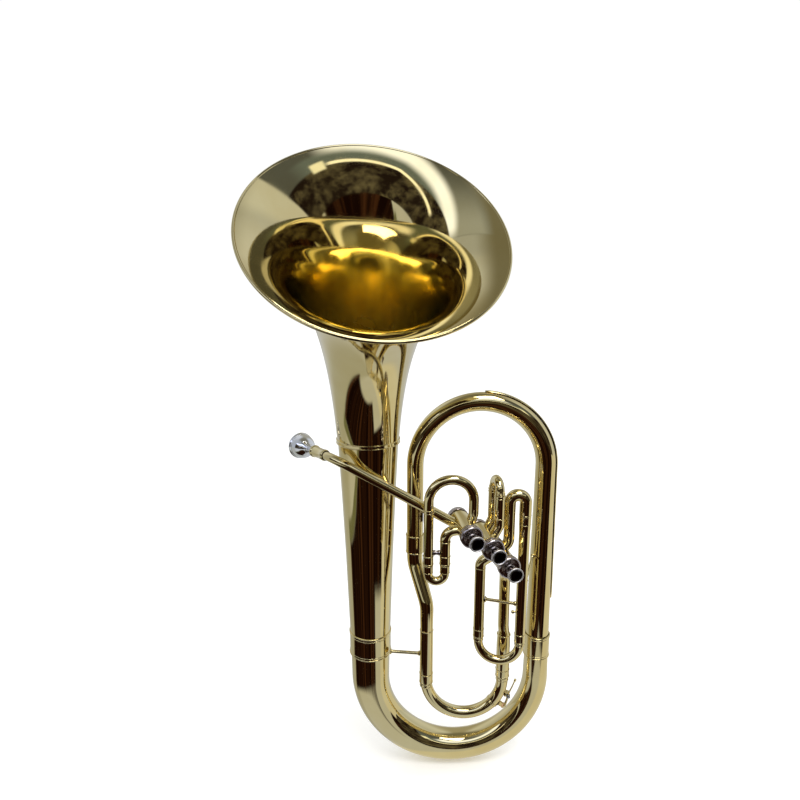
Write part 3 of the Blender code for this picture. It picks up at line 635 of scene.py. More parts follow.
def guard():
    """Strip soldered along the outside of the top bow, with rounded ends."""
    mid, arm = (BRANCH_X + INNER_X) / 2, (BRANCH_X - INNER_X) / 2
    line = []
    for deg in np.arange(88, -0.1, -3.0):
        a = math.radians(deg)
        r = arm + 13.3 + 0.9 * (1 - deg / 90)
        line.append((mid + r * math.cos(a), TOP_BOW_Z + r * math.sin(a)))
    for z in np.linspace(TOP_BOW_Z - 6, 262.0, 26):
        line.append((BRANCH_X + 14.2 + (TOP_BOW_Z - z) * 0.0104, z))
    line = np.array(line)
    b = Build()
    rows = []
    n = len(line)
    for i, (x, z) in enumerate(line):
        p, q = line[max(i - 1, 0)], line[min(i + 1, n - 1)]
        t = unit(q - p)
        out = np.array((-t[1], t[0]))
        if out[0] * (x - mid) + out[1] * (z - TOP_BOW_Z if z > TOP_BOW_Z else 0) < 0:
            out = -out
        end = min(i, n - 1 - i)
        w = 4.2 * math.sqrt(max(0.12, 1 - (1 - min(end / 2.0, 1.0)) ** 2))
        sec = [(-w, 0.1), (-w * 0.94, 1.0), (-w * 0.6, 1.65), (0, 1.85), (w * 0.6, 1.65), (w * 0.94, 1.0), (w, 0.1), (w * 0.7, -0.5), (-w * 0.7, -0.5)]
        rows.append(np.array([(x + out[0] * h, y, z + out[1] * h) for y, h in sec]))
    b.grid(rows)
    b.fan(rows[0], rows[0].mean(0), flip=True)
    b.fan(rows[-1], rows[-1].mean(0))
    b.done("guard_strip", "top_bow_guard", "lacquered_brass", sharp=50)


guard()


# ------------------------------------------------------------------ valves
def on_valve(i, t):
    return REAR[i] + AX * t


def at_y(i, y):
    return on_valve(i, (REAR[i][1] - y) / math.cos(YAW))


def casing(i):
    return (REAR[i], AX, CASING_R - 0.15)


SIDE = np.array((math.cos(YAW), math.sin(YAW), 0.0))
for i in range(3):
    n = str(i + 1)
    o = REAR[i]
    b = Build()
    prof = [(12.25, 64.0), (12.6, 64.2), (12.9, 64.0)]
    prof += [(12.9, 58.2), (13.25, 57.6), (13.4, 57.0), (13.4, 55.8), (13.05, 55.0), (12.95, 54.4)]
    prof += [(12.95, 13.2), (13.3, 12.4), (13.4, 11.6), (13.3, 10.8), (12.95, 10.2), (12.95, 2.2), (12.6, 1.9), (12.25, 2.1)]
    b.lathe(prof, o, AX, 88, closed=True)
    b.done("casing_" + n, "valve_casing_" + n, "lacquered_brass")
    # top cap: rounded crown, a waist and a knurled skirt
    b = Build()
    prof = [(3.4, 67.4), (3.4, 69.6), (3.8, 70.0), (5.2, 70.0), (5.6, 69.6), (6.4, 69.2), (9.2, 69.3), (11.2, 69.7), (12.2, 69.7),
            (13.4, 69.1), (14.2, 68.2), (14.6, 67.2), (14.6, 66.6), (14.0, 66.1), (14.0, 65.6), (14.55, 65.2)]
    prof += [(14.55, h) for h in (64.4, 63.4, 62.4, 61.4, 60.8)] + [(14.3, 60.2), (13.8, 59.6), (13.55, 59.6), (13.55, 64.4), (11.6, 64.6)]
    b.lathe(prof, o, AX, 192, closed=True, knurl=(60.8, 65.2, 48, 0.45, 14.2))
    b.done("top_cap_turned_" + n, "top_cap_" + n, "nickel", sharp=45)
    b = Build()
    prof = [(0, 1.4), (13.55, 1.4), (13.55, 8.0), (13.9, 8.0), (14.4, 7.5)] + [(14.6, h) for h in (7.0, 5.6, 4.2, 2.8, 1.6)] + \
           [(14.2, 0.6), (13.6, -0.4), (12.6, -1.2), (11.6, -1.6), (6.4, -1.6), (5.9, -1.1), (5.2, -0.9), (2.2, -0.9), (1.7, -0.6), (0, -0.6)]
    b.lathe(prof, o, AX, 192, knurl=(1.6, 7.0, 48, 0.45, 14.2))
    for f in range(len(b.f)):
        b.f[f] = b.f[f][::-1]
    b.done("bottom_cap_turned_" + n, "bottom_cap_" + n, "nickel", sharp=45)
    # piston with turned relief bands and a through port
    b = Build()
    prof = [(0, 62), (9.4, 62), (11.1, 61.4), (11.4, 60.6), (11.4, 55.0), (11.2, 54.6), (11.2, 53.6), (11.4, 53.2), (11.4, 27.4), (11.2, 27.0), (11.2, 26.0), (11.4, 25.6),
            (11.4, 22.6), (11.1, 22), (9.3, 22), (9.0, 22.3), (9.0, 59), (0, 59)]
    b.lathe(prof, o, AX, 72)
    for s in (1.0, -1.0):
        port = on_valve(i, 36) + Z * s * 11.0
        b.lathe([(5.4, 0.55), (5.9, 0.2), (5.9, -0.6), (5.0, -0.9), (5.0, -22.0 if s > 0 else 0.3), (5.4, 0.55)][:5], port, Z * s, 36)
    b.done("piston_body_" + n, "piston_" + n, "nickel")
    b = Build()
    # face of the button, in the near-black painted-reflection material
    prof = [(0, 86.3), (5.2, 86.4), (7.4, 87.0), (8.2, 87.7)]
    b.lathe(prof, o, AX, 72, mat=1)
    # rim of the button, in the lighter painted-highlight material
    b.lathe([(8.2, 87.7), (8.5, 88.15), (9.0, 88.35), (9.5, 88.2), (9.85, 87.85), (10.0, 87.3)], o, AX, 72, mat=2)
    prof = [(10.0, 87.3), (10.0, 85.2), (9.7, 84.4), (9.0, 83.7), (7.0, 83.3), (3.9, 83.2), (3.4, 82.9), (2.6, 82.2),
            (2.6, 62.5), (2.3, 62.3), (0, 62.3)]
    b.lathe(prof, o, AX, 72, knurl=None)
    b.done("button_" + n, "finger_button_" + n, "nickel", [MAT["nickel"], MAT["button_face"], MAT["rim_painted_highlight"]], sharp=45)
    b = Build()
    b.lathe([(7.0, 82.9), (7.4, 82.5), (7.4, 81.4), (7.0, 81.0), (3.7, 81.0), (3.2, 81.3), (3.2, 82.6), (3.7, 82.9)], o, AX, 48, closed=True)
    b.done("felt_ring_" + n, "valve_felt_" + n, "felt", sharp=60)
    coil = []
    turns, per = 4, 28
    for k in range(turns * per + 1):
        a = 2 * math.pi * k / per
        coil.append(on_valve(i, 2.6 + 18.6 * k / (turns * per)) + 10.2 * (SIDE * math.cos(a) + Z * math.sin(a)))
    b = Build()
    b.rod(coil, 0.6, 10)
    spring = b.done("return_spring_" + n, "valve_spring_" + n, "spring_steel")
    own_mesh(spring)


def knuckle(i, j, y, name):
    a, c = at_y(i, y), at_y(j, y)
    d = unit(c - a)
    s, e = a + d * 14.2, c - d * 14.2
    b = Build()
    b.tube([s, (s + e) / 2, e], LOOP_R, 0.7, 48, trim_start=casing(i), trim_end=casing(j))
    b.done(name + "_tube", name, "lacquered_brass")


knuckle(0, 1, -46.0, "valve_knuckle_1_2")
knuckle(1, 2, -60.0, "valve_knuckle_2_3")

# ------------------------------------------------------------------ tuning slide
b = Build()
b.tube(dense([(TUNE_LEFT_X, TUNE_Y, 224.7), (TUNE_LEFT_X, TUNE_Y, 141.0)]), TUNE_SLEEVE_R - 0.3, 0.6, 56)
ring_line(b, (TUNE_LEFT_X, TUNE_Y, 223.6), Z, TUNE_SLEEVE_R - 0.3, 0.55)
b.lathe(band(TUNE_SLEEVE_R - 0.1, 7.5, 0.4, 0.7, TUNE_SLEEVE_R - 0.7), (TUNE_LEFT_X, TUNE_Y, 148.8), Z, 56, closed=True)
b.done("left_sleeve", "tuning_sleeve_left", "lacquered_brass")
tune_up = fillet([(TUNE_RIGHT_X, TUNE_Y, TUNE_Z + 6), (TUNE_RIGHT_X, TUNE_Y, 222), (TUNE_RIGHT_X - 1, TUNE_Y, 230), (TUNE_RIGHT_X - 1.5, TUNE_Y, 306), (142.0, -36.0, 333.0), (128.7, -38.0, 352.0)], [60, 60, 18, 16], 5)
while np.linalg.norm((tune_up[-1] - REAR[2]) - AX * float((tune_up[-1] - REAR[2]) @ AX)) < CASING_R + 1.5:
    tune_up = tune_up[:-1]
b = Build()
b.tube(tune_up, taper(tune_up, [(0, TUNE_SLEEVE_R - 0.3), (0.34, TUNE_SLEEVE_R - 0.3), (0.37, 7.6), (1, 7.4)]), 0.6, 56, trim_end=casing(2))
ring_line(b, (TUNE_RIGHT_X, TUNE_Y, 217.0), Z, TUNE_SLEEVE_R - 0.3, 0.5)
b.lathe(band(TUNE_SLEEVE_R - 0.1, 6.0, 0.4, 0.7, TUNE_SLEEVE_R - 0.7), (TUNE_RIGHT_X, TUNE_Y, 157.2), Z, 56, closed=True)
b.done("right_sleeve", "tuning_sleeve_right", "lacquered_brass")

crook = u_bend((TUNE_LEFT_X, TUNE_Y, TUNE_Z), (TUNE_RIGHT_X, TUNE_Y, TUNE_Z), 58, 58, step=3)
b = Build()
b.tube(crook, TUNE_SLIDE_R, 0.6, 56)
b.lathe(band(TUNE_SLIDE_R + 0.5, 2.6, 0.4, 0.6, TUNE_SLIDE_R - 0.2), (TUNE_LEFT_X, TUNE_Y, 138.0), Z, 56, closed=True)
b.lathe(band(TUNE_SLIDE_R + 0.5, 2.6, 0.4, 0.6, TUNE_SLIDE_R - 0.2), (TUNE_RIGHT_X, TUNE_Y, 148.0), Z, 56, closed=True)
cx, crook_r = (TUNE_LEFT_X + TUNE_RIGHT_X) / 2, (TUNE_RIGHT_X - TUNE_LEFT_X) / 2


def on_crook(deg, out):
    a = math.radians(deg)
    return np.array((cx + (crook_r + out) * math.cos(a), TUNE_Y, TUNE_Z + (crook_r + out) * math.sin(a)))


b.lathe(band(TUNE_SLIDE_R + 0.4, 1.6, 0.35, 0.5, TUNE_SLIDE_R - 0.2), on_crook(-41, 0), unit(on_crook(-40, 0) - on_crook(-42, 0)), 56, closed=True)
b.done("tuning_crook", "tuning_slide", "lacquered_brass")

nip = unit(on_crook(-37, 1) - on_crook(-37, 0))
nip_at = on_crook(-37, TUNE_SLIDE_R + 0.3)
b = Build()
b.lathe([(3.4, 5.2), (3.6, 4.9), (3.6, 1.6), (4.0, 0.8), (4.9, 0.2), (5.2, -0.7), (2.0, -0.5), (2.0, 5.0), (2.3, 5.2)], nip_at, nip, 48, closed=True)
b.done("nipple", "water_key_nipple", "lacquered_brass")
pivot = on_crook(-21, TUNE_SLIDE_R + 5.2)
pdir = unit(on_crook(-21, 1) - on_crook(-21, 0))
tang = np.array((-pdir[2], 0.0, pdir[0]))
turn = np.array(((pdir[0], 0, tang[0]), (0, 1, 0), (pdir[2], 0, tang[2])))
b = Build()
for s in (-1, 1):
    b.slab(pivot - pdir * 1.3 + np.array((0, 4.1 * s, 0)), (7.4, 1.6, 5.2), turn, bevel=0.4)
    b.lathe([(2.6, 0.8), (2.6, -0.8), (0.9, -0.8), (0.9, 0.8)], pivot + np.array((0, 4.1 * s, 0)), (0, 1, 0), 32, closed=True)
b.slab(pivot - pdir * 4.3, (1.6, 9.8, 6.4), turn, bevel=0.4)
b.done("saddle", "water_key_saddle", "lacquered_brass")
b = Build()
b.lathe([(0, 8.4), (0.6, 8.3), (0.85, 8.0), (0.85, -5.2), (0.6, -5.5), (0, -5.6)], pivot, (0, -1, 0), 24)
b.lathe([(0, -5.0), (1.5, -5.0), (1.7, -5.3), (1.5, -5.9), (0, -6.1)], pivot, (0, -1, 0), 24)
b.done("hinge_pin", "water_key_pin", "spring_steel")
start = nip_at + nip * 11.3
mid = pivot + pdir * 1.0
end = on_crook(-1, TUNE_SLIDE_R + 11.0)
lever_line = dense([start, start * 0.5 + mid * 0.5 + pdir * 0.6, mid, mid * 0.5 + end * 0.5 + pdir * 0.4, end], 2.0)
b = Build()
b.rod(lever_line, taper(lever_line, [(0, 1.9), (0.3, 1.5), (0.45, 1.5), (0.6, 1.0), (0.9, 0.95), (1, 1.9)]), 20)
b.lathe([(2.7, 3.0), (2.8, 2.7), (2.8, -2.7), (2.7, -3.0), (0.95, -3.0), (0.95, 3.0)], pivot, (0, 1, 0), 36, closed=True)
b.lathe([(0, 10.4), (2.6, 10.4), (3.7, 9.8), (4.0, 9.0), (4.0, 8.0), (3.5, 7.9), (0, 7.9)], nip_at, nip, 40)
b.done("key_lever", "water_key_lever", "lacquered_brass")
b = Build()
b.lathe([(0, 2.4), (3.2, 2.4), (3.4, 2.2), (3.4, 0.25), (3.2, 0.0), (0, 0.0)], nip_at + nip * 5.5, nip, 40)
b.done("key_cork", "water_key_cork", "cork")
coil = []
for k in range(73):
    a = 2 * math.pi * k / 24
    coil.append(pivot + np.array((0, -7.7 + 1.9 * k / 72, 0)) + 2.1 * (pdir * math.cos(a) + tang * math.sin(a)))
b = Build()
b.rod(coil, 0.33, 10)
b.done("key_spring", "water_key_spring", "spring_steel")

# ------------------------------------------------------------------ leadpipe, mouthpiece
lead = fillet([(-101.3, -19.4, 480.0), (-82.3, -47.5, 482.0), (66.0, -44.0, 397.0), (80.0, -43.0, 390.5)], [34, 20], 4)
while np.linalg.norm((lead[-1] - REAR[0]) - AX * float((lead[-1] - REAR[0]) @ AX)) < CASING_R + 1.5:
    lead = lead[:-1]
b = Build()
b.tube(lead, taper(lead, [(0, 5.7), (0.25, 6.2), (1, 6.6)]), 0.6, 52, trim_end=casing(0))
b.done("leadpipe_tube", "leadpipe", "lacquered_brass")
rec0 = np.array((-101.3, -19.4, 480.0))
b = Build()
b.lathe([(6.4, 26.0), (6.8, 26.3), (7.8, 26.2), (8.3, 25.6), (8.4, 24.6), (8.3, 23.4), (7.9, 22.6), (7.35, 22.0), (7.2, 20.6), (7.1, 8.0), (7.15, -2.6), (7.35, -3.1), (7.6, -3.6),
         (7.65, -4.5), (7.55, -5.2), (7.3, -5.8), (7.0, -6.4), (6.9, -7.6), (6.6, -8.0), (6.3, -7.6), (6.3, 25.6)], rec0, RECEIVER_DIR, 72, closed=True)
b.done("receiver", "mouthpiece_receiver", "lacquered_brass")


def smooth_profile(pts, per=6):
    """Catmull-Rom through profile points."""
    pts = [np.asarray(p, float) for p in pts]
    out = []
    n = len(pts)
    for i in range(n - 1):
        p0, p1, p2, p3 = pts[max(i - 1, 0)], pts[i], pts[i + 1], pts[min(i + 2, n - 1)]
        for k in range(per):
            t = k / per
            out.append(tuple(0.5 * (2 * p1 + (p2 - p0) * t + (2 * p0 - 5 * p1 + 4 * p2 - p3) * t * t + (3 * p1 - p0 - 3 * p2 + p3) * t**3)))
    out.append(tuple(pts[-1]))
    return out


mouth = rec0 + RECEIVER_DIR * 4.0
outside = smooth_profile([(14.0, 68.0), (15.8, 68.4), (17.4, 67.9), (18.3, 66.6), (18.4, 65.2), (17.9, 63.8), (17.2, 62.6), (16.9, 60.0), (16.3, 56.0), (14.9, 51.0), (12.2, 46.0), (9.2, 42.8), (7.4, 41.0),
                          (6.6, 39.6), (6.5, 38.6), (5.7, 37.8), (5.2, 36.4), (5.3, 30.0), (5.6, 24.0), (5.3, 12.0), (5.0, 0.4)])
inside = smooth_profile([(4.4, 0.0), (3.6, 0.3), (3.2, 12.0), (2.6, 33.0), (2.7, 36.5), (3.6, 40.0), (6.4, 44.0), (9.4, 48.6), (11.4, 54.0), (12.4, 60.0), (12.9, 65.0), (13.4, 67.2)])
b = Build()
b.lathe(outside + inside, mouth, RECEIVER_DIR, 96, closed=True)
b.torus(mouth + RECEIVER_DIR * 60.2, RECEIVER_DIR, 16.75, 0.5, 96, 10)
b.done("mouthpiece_turned", "mouthpiece", "silver_plate", sharp=50)

# ------------------------------------------------------------------ lyre box
LYRE = np.array((INNER_X + 16.5, -4.0, 385.0))
b = Build()
for s in (-1, 1):
    b.slab(LYRE + np.array((3.6 * s, 0, 0)), (2.2, 9.6, 14.0), bevel=0.4)
b.slab(LYRE + np.array((0, 3.65, 0)), (7.0, 2.3, 14.0), bevel=0.35)
b.slab(LYRE + np.array((0, -3.65, 5.0)), (7.0, 2.3, 4.0), bevel=0.35)
b.slab(LYRE + np.array((0, -3.65, -5.0)), (7.0, 2.3, 4.0), bevel=0.35)
b.lathe([(3.4, 4.9), (3.4, 2.6), (2.1, 2.6), (2.1, 4.9)], LYRE, (0, -1, 0), 36, closed=True)
b.done("lyre_holder", "lyre_box", "nickel")
b = Build()
prof = [(0, 8.6), (3.6, 8.6), (4.2, 8.3)] + [(4.4, h) for h in (8.0, 7.4, 6.8, 6.2, 5.9)] + [(4.1, 5.5), (2.4, 5.3), (1.6, 5.0)]
for k in range(8):
    prof += [(1.6, 4.6 - k * 0.55), (1.42, 4.32 - k * 0.55)]
prof += [(1.3, 0.1), (0, 0.0)]
b.lathe(prof, LYRE + np.array((0, -3.0, 0)), (0, -1, 0), 144, knurl=(5.9, 8.0, 24, 0.5, 4.0))
b.done("lyre_thumb_screw", "lyre_screw", "nickel", sharp=45)

# ------------------------------------------------------------------ first slide
up = fillet([(88.5, -56.5, 396), (94.4, -57.0, 412), (94.4, -57.0, 459.0), (36.6, F_Y, 459.0), (36.6, F_Y, 345.3)], [14, 28.0, 28.0], 4)
while np.linalg.norm((up[0] - REAR[0]) - AX * float((up[0] - REAR[0]) @ AX)) < CASING_R + 1.5:
    up = up[1:]
b = Build()
b.tube(up, taper(up, [(0, LOOP_R), (0.60, LOOP_R - 0.2), (0.66, LOOP_R - 0.1), (1, LOOP_R)]), 0.6, 48, trim_start=casing(0))
b.lathe(band(SLEEVE_R - 0.05, 2.4, 0.35, 0.55, 6.0), (36.6, F_Y, 418.0), Z, 56, closed=True)
b.lathe(band(SLEEVE_R - 0.15, 6.0, 0.4, 0.6, 5.9), (36.6, F_Y, 351.4), Z, 56, closed=True)
b.done("first_upper", "first_slide_upper_tube", "lacquered_brass")
low = fillet([(58.2, F_Y, 345.3), (58.2, F_Y, 390.5), (86.0, F_Y + 2.0, 392.5)], [12], 4)
while np.linalg.norm((low[-1] - REAR[0]) - AX * float((low[-1] - REAR[0]) @ AX)) < CASING_R + 1.2:
    low = low[:-1]
b = Build()
b.tube(low, SLEEVE_R - 0.15, 0.6, 48, trim_end=casing(0))
b.lathe(band(SLEEVE_R + 0.05, 6.0, 0.4, 0.6, 6.1), (58.2, F_Y, 351.4), Z, 56, closed=True)
ring_line(b, (58.2, F_Y, 376.5), Z, SLEEVE_R - 0.1, 0.5)
b.done("first_lower", "first_slide_lower_tube", "lacquered_brass")
b = Build()
b.tube(u_bend((36.6, F_Y, 332), (58.2, F_Y, 332), 34, 34, step=5), SLIDE_R, 0.6, 48)
for x in (36.6, 58.2):
    b.lathe(band(SLIDE_R + 0.7, 5.4, 0.3, 0.5, SLIDE_R - 0.2), (x, F_Y, 338.6), Z, 56, closed=True)
b.done("first_crook", "first_slide", "lacquered_brass")

# ------------------------------------------------------------------ second slide
sa, sb = np.array((122.4, -37.0, 0.0)), np.array((126.6, -62.6, 0.0))
for label, foot, ty in (("rear", sa, -40.0), ("front", sb, -62.0)):
    aim = at_y(1, ty)
    p = fillet([foot + (0, 0, 440.0), foot + (0, 0, 398.0), aim + np.array((4.0, 0, 3.5))], [12], 4)
    while np.linalg.norm((p[-1] - REAR[1]) - AX * float((p[-1] - REAR[1]) @ AX)) < CASING_R + 1.2:
        p = p[:-1]
    b = Build()
    b.tube(p, SLEEVE_R - 0.3, 0.6, 48, trim_end=casing(1))
    b.lathe(band(SLEEVE_R - 0.1, 2.2, 0.35, 0.5, 6.1), foot + (0, 0, 437.7), Z, 56, closed=True)
    ring_line(b, foot + (0, 0, 409.0), Z, SLEEVE_R - 0.3, 0.45)
    b.done("second_" + label, f"second_slide_{label}_tube", "lacquered_brass")
b = Build()
b.tube(u_bend(sa + (0, 0, 443.0), sb + (0, 0, 443.0), 28, 28, down=False, step=5), SLIDE_R, 0.6, 48)
for foot in (sa, sb):
    b.lathe(band(SLIDE_R + 0.5, 1.5, 0.3, 0.45, SLIDE_R - 0.2), foot + (0, 0, 442.0), Z, 56, closed=True)
b.done("second_crook", "second_slide", "lacquered_brass")

# ------------------------------------------------------------------ third slide
low = fillet([TL + (0, 0, 226.0), TL + (0, 0, 336.0), (127.0, -40.0, 349.0)], [12], 4)
while np.linalg.norm((low[-1] - REAR[2]) - AX * float((low[-1] - REAR[2]) @ AX)) < CASING_R + 1.2:
    low = low[:-1]
b = Build()
b.tube(low, THIRD_SLEEVE_R - 0.2, 0.6, 48, trim_end=casing(2))
b.lathe(band(THIRD_SLEEVE_R, 6.0, 0.35, 0.6, 6.5), TL + (0, 0, 232.0), Z, 56, closed=True)
ring_line(b, TL + (0, 0, 328.0), Z, THIRD_SLEEVE_R - 0.2, 0.45)
b.done("third_lower", "third_slide_lower_tube", "lacquered_brass")
top_l = np.array((143.0, -46.0, 424.0))
up = [np.array((128.6, -44.0, 352.0))] + fillet([(134.0, -44.5, 358.0), (143.0, -46.0, 368.0), (143.0, -46.0, 424.0)], [14], 4)
up = dense(up)[:-1] + u_bend(top_l, TR + (0, 0, 424.0), 0, 0, down=False, step=5) + dense([TR + (0, 0, 424.0), TR + (0, 0, 222.0)])[1:]
while np.linalg.norm((up[0] - REAR[2]) - AX * float((up[0] - REAR[2]) @ AX)) < CASING_R + 1.2:
    up = up[1:]
b = Build()
b.tube(up, taper(up, [(0, 7.2), (0.18, 7.2), (0.25, 7.9), (0.41, 7.9), (0.42, THIRD_SLEEVE_R - 0.2), (1, THIRD_SLEEVE_R - 0.2)]), 0.6, 48, trim_start=casing(2))
b.lathe(band(THIRD_SLEEVE_R, 6.5, 0.35, 0.6, 6.5), TR + (0, 0, 229.0), Z, 56, closed=True)
b.lathe(band(THIRD_SLEEVE_R + 0.1, 6.0, 0.45, 0.6, 6.5), TR + (0, 0, 399.5), Z, 56, closed=True)
ring_line(b, TR + (0, 0, 407.0), Z, 7.9, 0.35)
b.lathe([(0, 6.2), (1.6, 6.1), (2.3, 5.2), (2.5, 4.2), (2.2, 3.2), (1.3, 2.4), (1.2, 0.6), (2.4, 0.1), (2.5, -0.5), (0, -0.6)], TR + (-6.9, -1.0, 268.0), (-1, 0, 0), 28)
b.done("third_upper", "third_slide_upper_tube", "lacquered_brass")
b = Build()
b.tube(u_bend(TL + (0, 0, 219.5), TR + (0, 0, 219.5), 75, 75, step=4), THIRD_SLIDE_R, 0.6, 48)
b.lathe(band(THIRD_SLIDE_R + 0.6, 2.4, 0.3, 0.5, THIRD_SLIDE_R - 0.2), TL + (0, 0, 223.0), Z, 56, closed=True)
b.lathe(band(THIRD_SLIDE_R + 0.6, 1.8, 0.3, 0.5, THIRD_SLIDE_R - 0.2), TR + (0, 0, 219.8), Z, 56, closed=True)
b.done("third_crook", "third_slide", "lacquered_brass")


# ------------------------------------------------------------------ stays
def brace(name, a, c, r, fa, fc, slot="lacquered_brass"):
    a, c = np.asarray(a, float), np.asarray(c, float)
    h = float(np.linalg.norm(c - a))
    pts = [(0, h), (fc * 0.92, h), (fc, h - 0.3), (fc, h - 0.9), (fc * 0.9, h - 1.3), (r * 1.5, h - 1.8), (r * 1.1, h - 2.6), (r, h - 4.0)]
    if h > 20:
        pts += [(r, h / 2 + 3.0), (r * 1.25, h / 2 + 2.2), (r * 1.4, h / 2), (r * 1.25, h / 2 - 2.2), (r, h / 2 - 3.0)] if name == "bell_brace_lower_" else []
    pts += [(r, 4.0), (r * 1.1, 2.6), (r * 1.5, 1.8), (fa * 0.9, 1.3), (fa, 0.9), (fa, 0.3), (fa * 0.92, 0), (0, 0)]
    b = Build()
    b.lathe(pts, a, c - a, 40)
    return b


b = brace("bell_brace_lower", (STACK_X + 28.6, -14.9, 186.0), (TUNE_LEFT_X - 9.3, TUNE_Y + 0.4, 186.0), 2.3, 4.4, 3.4)
b.done("bell_stay", "bell_brace_lower", "lacquered_brass")
b = brace("first", (36.6 + 6.4, F_Y, 361.0), (58.2 - 6.8, F_Y, 361.0), 2.7, 3.4, 3.4)
b.done("first_stay", "first_slide_brace", "nickel")
b = brace("third", (TL[0] + 7.2, TL[1] - 1.1, 282.0), (TR[0] - 7.2, TR[1] + 1.1, 279.0), 2.2, 4.4, 3.2)
b.done("third_stay", "third_slide_brace", "lacquered_brass")
b = brace("stay", (TR[0] + 5.6, TR[1] + 4.6, 311.4), (BRANCH_X - 13.6, -8.2, 330.6), 1.8, 3.2, 3.2)
b.done("branch_stay", "third_slide_stay", "lacquered_brass")


# ------------------------------------------------------------------ stage
def world():
    w = bpy.data.worlds.new("studio")
    bpy.context.scene.world = w
    w.use_nodes = True
    w.node_tree.nodes["Background"].inputs["Color"].default_value = (1.0, 1.0, 0.99, 1)
    w.node_tree.nodes["Background"].inputs["Strength"].default_value = 1.02


def plain(name, colour, emit=0.0):
    m = bpy.data.materials.new(name)
    m.use_nodes = True
    s = m.node_tree.nodes["Principled BSDF"]
    s.inputs["Base Color"].default_value = (*colour, 1)
    s.inputs["Roughness"].default_value = 0.9
    if emit:
        s.inputs["Emission Color"].default_value = (*colour, 1)
        s.inputs["Emission Strength"].default_value = emit
    return m


def panel(name, centre, size, normal, colour, camera=True, emit=0.0, up=(0, 0, 1)):
    """Flat card in metres, facing along its normal."""
    n = Vector(normal).normalized()
    quat = n.to_track_quat("Z", "Y")
    mesh = bpy.data.meshes.new(name)
    w, h = size[0] / 2, size[1] / 2
    mesh.from_pydata([(-w, -h, 0), (w, -h, 0), (w, h, 0), (-w, h, 0)], [], [(0, 1, 2, 3)])
    mesh.materials.append(plain(name, colour, emit))
    o = bpy.data.objects.new(name, mesh)
    o.matrix_world = Matrix.Translation(Vector(centre)) @ quat.to_matrix().to_4x4()
    bpy.context.scene.collection.objects.link(o)
    if not camera:
        o.visible_camera = False
        o.visible_diffuse = False
        o.visible_shadow = False
    return o


world()
floor = panel("floor", (0, 0, -0.001), (16, 16), (0, 0, 1), (0.93, 0.93, 0.92), emit=0.16)


def sums(t, op, a, b=None, c=None, clamp=False):
    n = node(t, "ShaderNodeMath", operation=op, use_clamp=clamp)
    for k, v in enumerate((a, b, c)):
        if v is None:
            continue
        if isinstance(v, (int, float)):
            n.inputs[k].default_value = float(v)
        else:
            t.links.new(v, n.inputs[k])
    return n.outputs[0]


def step(t, v, lo, hi):
    """0 below lo, 1 above hi, smooth between."""
    n = node(t, "ShaderNodeMapRange", interpolation_type="SMOOTHSTEP")
    n.inputs["From Min"].default_value = lo
    n.inputs["From Max"].default_value = hi
    t.links.new(v, n.inputs["Value"])
    return n.outputs["Result"]


def over(t, below, mask, colour):
    n = node(t, "ShaderNodeMix", data_type="RGBA")
    t.links.new(mask, n.inputs["Factor"])
    t.links.new(below, n.inputs["A"])
    if isinstance(colour, tuple):
        n.inputs["B"].default_value = (*colour, 1)
    else:
        t.links.new(colour, n.inputs["B"])
    return n.outputs["Result"]


def glow(name):
    m = bpy.data.materials.new(name)
    m.use_nodes = True
    t = m.node_tree
    t.nodes.clear()
    out = node(t, "ShaderNodeOutputMaterial")
    e = node(t, "ShaderNodeEmission")
    t.links.new(e.outputs[0], out.inputs["Surface"])
    m.cycles.emission_sampling = "NONE"
    return m, t, e


def angles(t, eye):
    """Azimuth (0 is straight ahead of the object, + towards its +X side) and elevation in degrees, from eye."""
    coord = node(t, "ShaderNodeTexCoord")
    sub = node(t, "ShaderNodeVectorMath", operation="SUBTRACT")
    sub.inputs[1].default_value = eye
    t.links.new(coord.outputs["Object"], sub.inputs[0])
    sep = node(t, "ShaderNodeSeparateXYZ")
    t.links.new(sub.outputs[0], sep.inputs[0])
    x, y, z = sep.outputs
    ahead = sums(t, "MULTIPLY", y, -1.0)
    az = sums(t, "MULTIPLY", sums(t, "ARCTAN2", x, ahead), 180 / math.pi)
    flat = sums(t, "SQRT", sums(t, "ADD", sums(t, "MULTIPLY", x, x), sums(t, "MULTIPLY", y, y)))
    el = sums(t, "MULTIPLY", sums(t, "ARCTAN2", z, flat), 180 / math.pi)
    return coord, az, el, flat


def inside(t, v, lo, hi, soft_edge):
    return sums(t, "MULTIPLY", step(t, v, lo - soft_edge, lo + soft_edge), sums(t, "SUBTRACT", 1.0, step(t, v, hi - soft_edge, hi + soft_edge)))


def flag(obj):
    obj.visible_camera = False
    obj.visible_diffuse = False
    obj.visible_shadow = False
    obj.visible_transmission = False


